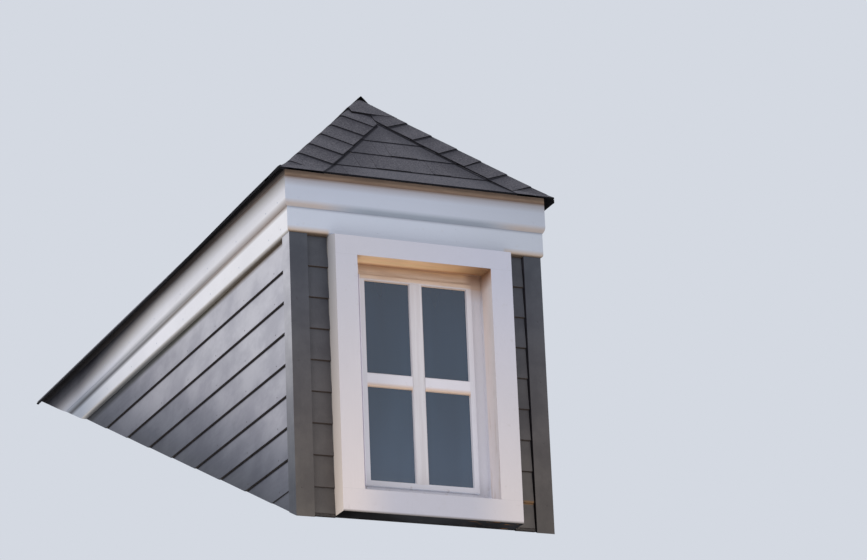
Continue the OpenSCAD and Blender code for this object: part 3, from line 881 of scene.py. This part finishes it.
def board_profile(butt, top, close):
    """A wedge in depth and height: its face leans back from the butt, and its back lies on the board
    below. Its last visible part, as high as close, carries a painted shadow from the board above."""
    lean = (BUTT_OUT - TOP_OUT) / (LAP + HIDDEN_LAP)
    covered = min(butt + LAP, FRIEZE_Z, top - 0.001)
    open_top = max(covered - close, butt + 2 * BUTT_ROUND)
    heights = np.array([butt, butt, butt + BUTT_ROUND, open_top, covered, top, top])
    out = BUTT_OUT - lean * (heights - butt)
    out[[0, 1, 6]] = BACK_OUT, BUTT_OUT - BUTT_ROUND, 0.0005
    shade = np.array([0, 0, 0, 0, 1, 1, 1])
    return out, heights, shade


def butt_heights():
    """Every butt line from the frieze down to just below the main roof."""
    return FIRST_BUTT - LAP * np.arange(math.ceil((FIRST_BUTT + BELOW_ROOF) / LAP) + 1)


print(len(butt_heights()), "butt lines, the first at", round(FIRST_BUTT, 3))


# %% Boards of the cheeks
def cheek_board(butt, side):
    """The profile stands on the sheathing and runs back to the main roof, where y = height / rise."""
    low = max(butt, ROOF_RISE * CORNER_BACK_Y + 0.001)
    top = min(butt + LAP + HIDDEN_LAP, FRIEZE_Z)
    if top - low < LEAST_BOARD:
        return None
    out, height, shade = board_profile(low, top, SHADED_CHEEK)
    x = side * (SHEATH_X + out)
    near = CORNER_BACK_Y + BEHIND_CORNER
    start = np.stack([x, np.full(len(x), near), height], 1)
    end = np.stack([x, np.maximum(height / ROOF_RISE, near + 0.001), height], 1)
    return carried([start, end], shade)


for side, name in ((-1, "left"), (1, "right")):
    boards = [b for b in (cheek_board(h, side) for h in butt_heights()) if b]
    tones = 0.15 * chance.random(len(boards))
    tones[1] = 0.55
    piece("lap_siding_" + name, boards, GREY_CHEEK, ["siding_" + name], tones)


# %% Boards of the front
def front_board(butt, low_x, high_x):
    """The same profile between two upright edges of the front, cut off at its foot by the main roof."""
    foot = ROOF_RISE * (SHEATH_Y - BUTT_OUT / 2)
    low = max(butt, foot)
    top = min(butt + LAP + HIDDEN_LAP, FRIEZE_Z)
    if top - low < LEAST_BOARD:
        return None
    out, height, shade = board_profile(low, top, SHADED_FRONT)
    ends = [np.stack([np.full(len(out), x), SHEATH_Y - out, height], 1) for x in (low_x, high_x)]
    return carried(ends, shade)


END_GAP = 0.005
strips = []
for h in butt_heights():
    strips.append(front_board(h, -CORNER_INNER_X + BEHIND_CORNER, -CASING_X))
    strips.append(front_board(h, CASING_X, CORNER_INNER_X - END_GAP))
strips = [s for s in strips if s]
tones = chance.random(len(strips))
piece("lap_siding_front", strips, GREY_FRONT, ["siding_front"], tones)

# %% [markdown]
# A laminated shingle is a plain sheet with a row of tabs glued on it. Courses start at the eave and
# lap upward like the siding. The first one has a starter strip under it, so its edge is thicker, and
# along the cheeks it droops over the fascia.
# A place on a slope is three numbers: how far along the eave, how far in from the eave, measured
# level, and how high over the deck, measured plumb. One function turns them into a point.

# %% Places on a slope
LEFT_DROOP, RIGHT_DROOP = [-0.0085, 0.0135, 0.015], 0.012
HIP_GAP = 0.016


def eave_droop(side, inward, along):
    """How far the overhang of a cheek's slope hangs below its plane: the square of how far out it is.
    The left one curls up at its front corner and sinks towards the back."""
    depth = np.interp(along, [0.2, 1.5, 2.0], LEFT_DROOP) if side == "left" else RIGHT_DROOP
    return depth * np.clip(1 - inward / OVERHANG, 0, None) ** 2


def slope_point(side, along, inward, lift):
    z = EAVE_Z + inward * math.tan(PITCH) + lift
    if side == "front":
        return np.stack([along, TIP_Y + inward, z], -1)
    x = inward - TIP_X
    return np.stack([x if side == "left" else -x, along, z - eave_droop(side, inward, along)], -1)


def slope_limits(side, inward, lift):
    """How far along the eave a slope reaches: from hip to hip, or from a hip to the main roof. Sheets
    meet at the eave's corner, and further in they stop a little short of the hip, where the caps sag."""
    short = HIP_GAP * np.clip(inward / 0.05, 0, 1)
    if side == "front":
        return inward - TIP_X + short, TIP_X - inward - short
    return TIP_Y + inward + short, (EAVE_Z + inward * math.tan(PITCH) + lift) / ROOF_RISE


print("the left eave runs from", TIP_Y, "back to", round(slope_limits("left", 0, 0)[1], 3))

# %% [markdown]
# One shingle is thick at its butt and thin where the next course hides it. The first course bends
# over the eave, so its section has two more points, and on the sides it has more stations too.
# Where the butt lines lie was measured in the photo, with the camera turning pixels into metres in
# from the eave. The front's lines aren't level there, so each has one distance for its left end and
# one for its right.

# %% One shingle
EXPOSURE, HIDDEN_RUN = 0.1209, 0.022
FRONT_LINES = [(0.0, 0.0), (0.0912, 0.106), (0.217, 0.217), (0.332, 0.342), (0.62, 0.62)]
SIDE_LINES = [0.0] + [0.0912 + EXPOSURE * n for n in range(5)] + [0.665]
SHEET_V, TAB_V, STARTER_V = 0.0042, 0.0064, 0.0155
CAP_REACH = 0.19
COVERED_V, CLOSE_RUN, FRONT_CURL_V = 0.0012, 0.012, 0.006
SHEET_LENGTH = 0.985


def course_line(side, number, along):
    """How far in from the eave a butt line lies: even on the sides, and from end to end on the
    front."""
    if side != "front":
        return SIDE_LINES[number]
    return np.interp(along, [-TIP_X, TIP_X], FRONT_LINES[number])


def sheet(side, number, low, high, thick, tab=False, taper=0.0):
    """A sheet between two places along the eave. Its butt is thick and its hidden end thin, and the last
    part before the next butt carries a painted shadow. A tab stands on the sheet, so its underside is
    raised."""
    rings = []
    for part in np.linspace(0, 1, 5 if number == 0 and side != "front" else 2):
        edge = low + part * (high - low)
        start, cover = course_line(side, number, edge), course_line(side, number + 1, edge)
        stop = cover if tab else cover + HIDDEN_RUN
        run = [start, cover - CLOSE_RUN, cover, stop + 0.001]
        if number == 0:
            run[1:1] = [OVERHANG / 2, OVERHANG]
        run = np.array(run)
        lift = np.interp(run, [start, cover, stop + 0.001], [thick, COVERED_V + 0.0004 * tab, 0.0008])
        base = np.interp(run, [start, stop], [COVERED_V if number else 0.0, 0.0002])
        if number == 0 and side == "front":
            base = np.maximum(base, np.interp(run, [0, OVERHANG], [FRONT_CURL_V, 0]))
        if tab:
            base = np.interp(run, [start, cover], [SHEET_V - 0.0006, 0.0004])
        inward, height = np.concatenate([run, run[::-1]]), np.concatenate([lift, base[::-1]])
        narrower = taper * (inward - start) / (stop - start)
        limits = slope_limits(side, inward, height)
        first, last = np.clip(low + narrower, *limits), np.clip(high - narrower, *limits)
        rings.append(slope_point(side, first + part * (last - first), inward, height))
    shade = np.concatenate([(run > cover - CLOSE_RUN / 2), np.zeros(len(run))])
    return carried(rings, shade)


print("side courses show", EXPOSURE, "of their run, and a starter is", STARTER_V, "thick")


# %% Lay the courses
LEAST_TAB, JOINT_CLEAR = 0.08, 0.02
OVER_SHEETS, TRIM_PAST = 0.02, 0.05


def lay_slope(side, courses):
    """Sheets end to end in each course, with tabs of random width on them. A joint or a tab that would
    come too near a hip or the main roof is left out, so that every sheet there is cut once."""
    solids, tones = [], []
    for number in range(courses):
        first = course_line(side, number, 0)
        last = course_line(side, number + 1, 0) + HIDDEN_RUN + JOINT_CLEAR
        low = slope_limits(side, last, 0)[0] + JOINT_CLEAR
        high = slope_limits(side, first, 0)[1] - JOINT_CLEAR
        outer_low = slope_limits(side, first, 0)[0] - TRIM_PAST
        outer_high = slope_limits(side, last, OVER_SHEETS)[1] + TRIM_PAST
        if side == "front":
            high, outer_high = -low, -outer_low
        joints = np.arange(low - chance.uniform(0, SHEET_LENGTH), high, SHEET_LENGTH)
        joints = [joint for joint in joints if low < joint < high]
        edges = [outer_low] + joints + [outer_high]
        thick = SHEET_V if number else STARTER_V
        for start, end in zip(edges[:-1], edges[1:]):
            tone = chance.uniform(0.3, 0.7)
            solids.append(sheet(side, number, start + 0.001, end, thick))
            tones.append(tone)
            tab_high = min(end, high - CAP_REACH if side == "front" else high)
            tab = max(start, low + CAP_REACH) + chance.uniform(0.0, LEAST_TAB)
            while number and tab < tab_high - LEAST_TAB:
                width = min(chance.uniform(0.09, 0.26), tab_high - 0.004 - tab)
                taper = chance.uniform(0.002, 0.010)
                solids.append(sheet(side, number, tab, tab + width, TAB_V, True, taper))
                tones.append(np.clip(tone + chance.uniform(-0.25, 0.25), 0, 1))
                tab += width + chance.uniform(0.05, 0.16)
    return solids, tones


for side, courses in (("front", 4), ("left", 6), ("right", 6)):
    solids, tones = lay_slope(side, courses)
    piece("shingle_courses_" + side, solids, SHINGLE, ["shingles_" + side], tones)

# %% [markdown]
# Caps are cut from shingles and folded over each hip, from the eave up, and then over the ridge.
# Where they meet, one cap is folded down over all three slopes, and the first ridge cap stands out over
# it like a small gable.
# Each cap is a thin sheet over the roof's own surface. That surface is the lowest of the three slopes
# at each place in plan, with its folds eased by a small radius, as a folded shingle has.

# %% The surface that caps lie on
EAVE_FOLD, HIP_FOLD, APEX_FOLD, RIDGE_FOLD = 0.004, 0.009, 0.008, 0.004


def soft_low(a, b, fold):
    """The lower of two heights, eased where they meet: their mean less half the root of their gap
    squared plus the fold squared."""
    return (a + b) / 2 - np.sqrt((a - b) ** 2 + fold ** 2) / 2


def side_height(x, y, fold):
    """The deck's top over a place in plan, if the roof had its two side slopes alone."""
    left, right = TIP_X + x, TIP_X - x
    return EAVE_Z + soft_low(left * math.tan(PITCH) - eave_droop("left", left, y),
                             right * math.tan(PITCH) - eave_droop("right", right, y), fold)


def hip_fold(x, y):
    """A hip is sharp at the eave, where the corner holds it up, and sags further in."""
    return np.interp(np.minimum(TIP_X - np.abs(x), y - TIP_Y), [0, 0.09], [EAVE_FOLD, HIP_FOLD])


def roof_height(x, y, fold):
    """The same with all three slopes."""
    return soft_low(side_height(x, y, fold), EAVE_Z + (y - TIP_Y) * math.tan(PITCH), fold)


def cap(plan, deck, lifts, ply, shade):
    """A folded sheet: plan[i, j] is its grid in plan and deck the height under it. Each row has its own
    lift over the deck, thickness and shade. The underside lies one ply below the top."""
    top = np.concatenate([plan, (deck + lifts)[..., None]], -1)
    under = top - np.stack([0 * ply, 0 * ply, ply], -1)
    rings = np.concatenate([top, under[:, ::-1]], 1)
    return carried(rings, np.concatenate([shade + 0 * deck, 0 * deck], 1))


CAP_SHADE = [0, 0, 0.10, 0.20, 1, 1, 1]


def cap_rows(start, cover, stop):
    """Where the rows of a cap lie between its butt and its hidden end, as parts of its length."""
    third = (cover - start) / 3
    run = np.array([start, start + third, start + 2 * third, cover - 0.014, cover - 0.008, cover, stop])
    return (run - start) / (stop - start)


apex_surface = float(roof_height(0, APEX_Y, APEX_FOLD))
print("the surface under the caps is", round(apex_surface, 4), "high at the apex")

# %% [markdown]
# A hip cap's butt isn't quite square to the hip, and no two lie alike, as the photo shows. So each has
# its own butt line, skew and tone, and it lies on the surface above instead of on a plane. The butts
# are in metres up the hip, and they were measured in the photo in the same way as the courses.

# %% Hip caps
BUTTS = {"left": [0, 0.128, 0.264, 0.424, 0.595, 0.754, 0.919],
         "right": [0, 0.136, 0.283, 0.442, 0.590, 0.749, 0.903]}
HIP_TOP = 1.04
CAP_TOP_V = SHINGLE_V + CAP_V
CAP_LOW_V, BUTT_V = 0.0060, 0.0102
FIRST_V, FIRST_FRONT_V = 0.0187, 0.0155
HIP_RISE = {"left": 0.0, "right": 0.005}
PLY = 0.0045


def hip_plan(rows, start, stop, shift, skew):
    """Along the hip and across it. In plan a step along the hip goes the same way in x and y, and a
    step across it, square to the fold on each slope, goes out by twice what it goes back. On the front
    slope the two hips' last caps have only the room up to x = 0."""
    across = np.linspace(-CAP_HALF + shift, CAP_HALF + shift, 25)[None, :]
    eave = np.abs(across) / math.sqrt(2)
    first = np.maximum(start + skew * across, eave)
    along = first + rows[:, None] * (stop - first)
    step, out = along / math.sqrt(3), np.abs(across) / math.sqrt(6)
    room = math.sqrt(1.5) * (TIP_X - step) / (CAP_HALF + shift)
    out = np.where(across > 0, out * np.minimum(room, 1), out)
    x = -TIP_X + step + np.where(across > 0, 2 * out, -out)
    y = TIP_Y + step + np.where(across > 0, -out, 2 * out)
    return x, y, along


def lay_hip(hand, name, shift):
    """Caps up one hip. The left hip's caps lie flatter than the right one's."""
    solids = []
    butts, rise = BUTTS[name], HIP_RISE[name]
    for start, cover in zip(butts, butts[1:] + [HIP_TOP]):
        stop = cover + 0.02
        rows = cap_rows(start, cover, stop)
        crooked = chance.uniform(-0.003, 0.003)
        x, y, along = hip_plan(rows, start, stop, shift + crooked, chance.uniform(-0.05, 0.05))
        lifts = np.interp(along, [start, cover, stop], [BUTT_V, CAP_LOW_V, CAP_LOW_V - 0.0005]) + rise
        ply = PLY + 0 * lifts
        if not start:
            front = np.clip((TIP_X + x - y + TIP_Y) / 0.04 + 0.5, 0, 1)
            first = FIRST_V + front * (FIRST_FRONT_V - FIRST_V)
            inward = np.minimum(TIP_X + x, y - TIP_Y)
            lifts = lifts + np.clip(1 - inward / 0.09, 0, 1) * (first - BUTT_V - rise)
            ply = PLY + np.clip(1 - inward / 0.03, 0, 1) * (first - front * FRONT_CURL_V - 0.001 - PLY)
        shade = np.array(CAP_SHADE)[:, None]
        x = hand * x
        solids.append(cap(np.stack([x, y], -1), roof_height(x, y, hip_fold(x, y)), lifts, ply, shade))
    return solids


for hand, name in ((1, "left"), (-1, "right")):
    solids = lay_hip(hand, name, hand * CAP_SHIFT)
    tones = 0.35 * chance.random(len(solids))
    piece("hip_caps_laid_" + name, solids, SHINGLE, ["hip_caps_" + name], tones)

# %% [markdown]
# The ridge's caps start with the one that is folded over the apex, and run back to the main roof. The
# last of them is cut along the main roof's slope.

# %% Ridge caps
FOLDED_HALF, LEFT_FLAP, NOSE = 0.140, 0.10, 0.026
RIDGE_LENGTH = 0.150


def folded_cap():
    """The cap that is folded down over all three slopes: nearly a square in plan, and thick at its lower
    edge. Its left flap is shorter and stands off the slope."""
    x, y = np.meshgrid(np.linspace(-LEFT_FLAP, FOLDED_HALF, 25),
                       APEX_Y + np.linspace(-FOLDED_HALF, FOLDED_HALF, 29))
    lifts = np.interp(y, [APEX_Y - FOLDED_HALF, APEX_Y], [CAP_TOP_V + 0.001, CAP_TOP_V - 0.002])
    lifts = lifts + np.interp(x, [-LEFT_FLAP, -0.05, 0, FOLDED_HALF], [0.004, 0.002, 0, -0.001])
    ply = np.interp(y, [APEX_Y - FOLDED_HALF, APEX_Y], [0.012, 0.005])
    return cap(np.stack([x, y], -1), roof_height(x, y, APEX_FOLD), lifts, ply, 0 * x)


def cut_at_roof(solid):
    """Pulls the end of the last cap back to the main roof's plane, along the ridge."""
    points, faces, shade = solid
    points[:, 1] = np.minimum(points[:, 1], points[:, 2] / ROOF_RISE)
    return points, faces, shade


def lay_ridge():
    """The folded cap, then caps from the apex back, the last of them up to the main roof."""
    solids = [folded_cap()]
    half = CAP_HALF * math.cos(PITCH)
    last = (RIDGE_DECK_Z - half * math.tan(PITCH)) / ROOF_RISE - 0.1
    butts = np.arange(APEX_Y - NOSE, last - RIDGE_LENGTH, RIDGE_LENGTH).tolist()
    for start, cover in zip(butts, butts[1:] + [None]):
        across = np.linspace(-half, half, 17) + chance.uniform(-0.002, 0.002)
        if cover:
            stop = cover + 0.02
            rows, shade = cap_rows(start, cover, stop), np.array(CAP_SHADE)
        else:
            cover = RIDGE_DECK_Z / ROOF_RISE
            stop = cover + 0.04 - np.abs(across) / ROOF_RISE
            rows, shade = np.linspace(0, 1, 7), np.zeros(7)
        x, part = np.meshgrid(across, rows)
        y = start + part * (stop - start)
        lifts = np.interp(y, [start, cover], [CAP_TOP_V + 0.0015, CAP_LOW_V])
        deck = side_height(x, y, RIDGE_FOLD)
        solid = cap(np.stack([x, y], -1), deck, lifts, PLY + 0 * x, shade[:, None])
        solids.append(cut_at_roof(solid))
    return solids


ridge = lay_ridge()
tones = 0.35 * chance.random(len(ridge))
piece("ridge_caps_laid", ridge, SHINGLE, ["ridge_caps"], tones)

# %% [markdown]
# The sash has one upright bar and one level bar, which cut the view into four panes.
# A bar is a flat profile with eased edges. It stands on the glass and ends at the sash.
# Each pane is held by a glazing bead: a small wedge carried round the pane as a loop, so its corners
# are mitred.

# %% Window bars
BAR_W, BAR_EASE = 0.063, 0.003
SASH_HOLDS = 0.008
glass_low, glass_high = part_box("glass")
PANE_X = glass_high.x - SASH_HOLDS
PANE_LOW, PANE_HIGH = glass_low.z + SASH_HOLDS, glass_high.z - SASH_HOLDS
bar_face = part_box("sash")[0].y + 0.001
bar_back = glass_low.y


def bar_profile():
    """Across the bar and out from the glass, with its two outer edges cut at a slant."""
    half = BAR_W / 2
    depth = bar_back - bar_face
    return np.array([[-half, 0], [half, 0], [half, depth - BAR_EASE], [half - BAR_EASE, depth],
                     [BAR_EASE - half, depth], [-half, depth - BAR_EASE]])


across, out = bar_profile().T
upright = [np.stack([across, bar_back - out, np.full(6, z)], 1) for z in (PANE_LOW, PANE_HIGH)]
bars = [carried(upright)]
for ends in ((-PANE_X, -BAR_W / 2), (BAR_W / 2, PANE_X)):
    level = [np.stack([np.full(6, x), bar_back - out, LEVEL_BAR_Z + across], 1) for x in ends]
    bars.append(carried(level))
piece("window_bars", bars, WINDOW_PAINT)

# %% Glazing beads
BEAD, BEAD_LIP = 0.003, 0.0012


def loop_round(low, high, section):
    """Carries a section round a rectangle in the window's plane: section[k] is how far in from the
    rectangle's edge and how far out from the glass the point lies."""
    inset, out = section.T
    corners = []
    for x, way_x, z, way_z in ((low[0], 1, low[1], 1), (high[0], -1, low[1], 1),
                               (high[0], -1, high[1], -1), (low[0], 1, high[1], -1)):
        corners.append(np.stack([x + way_x * inset, bar_back - out, z + way_z * inset], 1))
    return carried(corners, loop=True)


bead_section = np.array([[-0.001, 0.0], [BEAD, 0.0], [BEAD, BEAD_LIP],
                         [BEAD_LIP, 2 * BEAD], [-0.001, 2 * BEAD]])
beads = []
for low_x, high_x in ((-PANE_X, -BAR_W / 2), (BAR_W / 2, PANE_X)):
    for low_z, high_z in ((PANE_LOW, LEVEL_BAR_Z - BAR_W / 2), (LEVEL_BAR_Z + BAR_W / 2, PANE_HIGH)):
        beads.append(loop_round((low_x, low_z), (high_x, high_z), bead_section))
piece("glazing_beads", beads, WINDOW_PAINT)

# %% [markdown]
# Every board is nailed, and a painted nail head still shows as a small flat bump. Frieze and fascia
# have them at each stud, and each board on the cheeks has one there. The casing has none here.

# %% Nail heads
NAIL_R, NAIL_OUT, NAIL_SIDES = 0.0042, 0.0009, 8
STUD_PITCH = 0.406


def nail(at, facing):
    """A flat disc that stands a little out of the board: one ring in the board, one on its face."""
    turn = np.arange(NAIL_SIDES) / NAIL_SIDES * 2 * math.pi
    facing = np.array(facing, float)
    flat = np.array([facing[1], -facing[0], 0.0])
    ring = NAIL_R * (np.cos(turn)[:, None] * flat + np.sin(turn)[:, None] * np.array([0, 0, 1.0]))
    at = np.array(at)
    return carried([at + ring - facing * NAIL_OUT, at + 0.8 * ring + facing * NAIL_OUT])


def cheek_studs(height):
    """Where the studs of a cheek stand behind a board that runs out into the main roof."""
    near, far = CORNER_BACK_Y + 0.03, height / ROOF_RISE - 0.06
    return [y for y in APEX_Y + STUD_PITCH * np.arange(-1, 8) if near < y < far]


FRIEZE_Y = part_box("frieze_front")[0].y
FASCIA_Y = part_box("fascia_front")[0].y
FRONT, SIDE = np.array([0, -1, 0]), np.array([1, 0, 0])
FRIEZE_NAIL_Z, FASCIA_NAIL_Z, EDGE = FRIEZE_Z + 0.035, FASCIA_Z + 0.045, 0.025
trim_nails, wall_nails = [], []
for x in (-0.60, -0.20, 0.20, 0.60):
    trim_nails += [nail((x, FRIEZE_Y, z), FRONT) for z in (FRIEZE_NAIL_Z, FASCIA_Z - EDGE)]
    trim_nails += [nail((x, FASCIA_Y, z), FRONT) for z in (FASCIA_NAIL_Z, STRIP_Z - EDGE)]
for hand in (-1, 1):
    for y in (0.0, *cheek_studs(FRIEZE_Z)):
        trim_nails.append(nail((hand * FRIEZE_X, y, FRIEZE_NAIL_Z), hand * SIDE))
        trim_nails.append(nail((hand * FASCIA_X, y, FASCIA_NAIL_Z), hand * SIDE))
    for z in np.arange(0.1, FRIEZE_Z - 0.05, 0.3):
        wall_nails.append(nail((hand * (CORNER_X - 0.03), CORNER_Y, z), FRONT))
    for z in butt_heights() + EDGE:
        board_x = hand * (SHEATH_X + BUTT_OUT - 0.002)
        wall_nails += [nail((board_x, y, z), hand * SIDE) for y in cheek_studs(z)]
piece("trim_nail_heads", trim_nails, FRONT_TRIM)
piece("siding_nail_heads", wall_nails, GREY_CORNER)

# %% [markdown]
# Old caulk fills the joint between the casing and the siding on the left. Its width varies a little,
# and dirt has dulled it.

# %% Caulk
CAULK_W, CAULK_UNEVEN, CAULK_STEP = 0.0024, 0.0005, 0.04


def bead_up(x, y, low, high, way_x):
    """A three-sided bead in an inner corner, carried upward with a slightly uneven width."""
    stations = []
    for z in np.arange(low, high, CAULK_STEP).tolist() + [high]:
        width = CAULK_W + chance.uniform(-CAULK_UNEVEN, CAULK_UNEVEN)
        stations.append([[x, y, z], [x + way_x * width, y, z], [x, y - width, z]])
    return carried(stations)


caulk = bead_up(-CASING_X, SHEATH_Y - 0.011, FIRST_BUTT - 7 * LAP, FRIEZE_Z - 0.002, -1)
piece("caulk_bead", [caulk], CAULK)

# %% [markdown]
# Roofing felt covers the sheathing behind the siding. It shows only where the siding stops short of
# the right corner board and between laps, as a thin dark line.

# %% Roofing felt
FELT_THICK = 0.0004
foot = ROOF_RISE * SHEATH_Y
sheets = []
for hand in (-1, 1):
    inner, outer = hand * CASING_X, hand * CORNER_INNER_X
    low = (min(inner, outer), SHEATH_Y - FELT_THICK, foot)
    sheets.append(carried(box_of(low, (max(inner, outer), SHEATH_Y, FRIEZE_Z))))
piece("roofing_felt", sheets, FELT)

# %% [markdown]
# The stage is a plain pale floor below the camera, and soft light from a pale room, the same from all
# sides. A large lamp stands to the left, as the sky is brighter there in the photo. Three weaker ones
# fill in: from the right of the front, from low in front, where the photo's own light comes off sunlit
# roofs, and from behind. The camera sees a pale backdrop in place of the room's light.

# %% Stage and world
FLOOR_Z = CAMERA_AT.z - 0.6
FLOOR_HALF = 60
floor_mesh = bpy.data.meshes.new("floor")
SQUARE = ((-1, -1), (1, -1), (1, 1), (-1, 1))
floor_corners = [(x * FLOOR_HALF, y * FLOOR_HALF, FLOOR_Z) for x, y in SQUARE]
floor_mesh.from_pydata(floor_corners, [], [(0, 1, 2, 3)])
floor = bpy.data.objects.new("floor", floor_mesh)
bpy.context.scene.collection.objects.link(floor)
floor_finish, floor_shader, _, _ = new_finish("pale_floor")
wire(floor_shader, Base_Color=(0.72, 0.74, 0.77, 1), Roughness=0.9)
floor_mesh.materials.append(floor_finish)

world = bpy.data.worlds.new("pale_room")
bpy.context.scene.world = world
world.use_nodes = True
room_light = world.node_tree.nodes["Background"]
room_light.inputs["Color"].default_value = (1, 1, 1, 1)
room_light.inputs["Strength"].default_value = 0.60
rays = world.node_tree.nodes.new("ShaderNodeLightPath").outputs
seen = Signal(rays["Is Camera Ray"])
for ray_kind in ("Is Glossy Ray", "Is Transmission Ray"):
    seen = seen.larger(Signal(rays[ray_kind]))
backdrop = seen.add("Background", {}, {"Color": paint(212, 217, 226), "Strength": 1.0})
both = seen.add("MixShader", {}, {0: seen, 1: Signal(room_light.outputs[0]), 2: backdrop})
world.node_tree.links.new(both.socket, world.node_tree.nodes["World Output"].inputs["Surface"])
print("floor at", round(FLOOR_Z, 2))


# %% Soft lamps
LAMPS_LOOK_AT = Vector((0, 0.8, 1.1))


def soft_light(name, at, size, power):
    """A square area lamp that looks at the dormer's front."""
    lamp = bpy.data.lights.new(name, "AREA")
    lamp.energy = power
    lamp.size = size
    thing = bpy.data.objects.new(name, lamp)
    bpy.context.scene.collection.objects.link(thing)
    aim = LAMPS_LOOK_AT - Vector(at)
    thing.location = at
    thing.rotation_euler = aim.to_track_quat("-Z", "Y").to_euler()
    thing.visible_camera = False


soft_light("key_left", (-9, -3, 5), 6, 520)
soft_light("fill_front", (3, -9, 4), 6, 200)
soft_light("fill_low", (-1, -5, -3.4), 4, 130)
soft_light("fill_back", (4, 12, 8), 6, 300)
bpy.context.scene.view_settings.view_transform = "Standard"
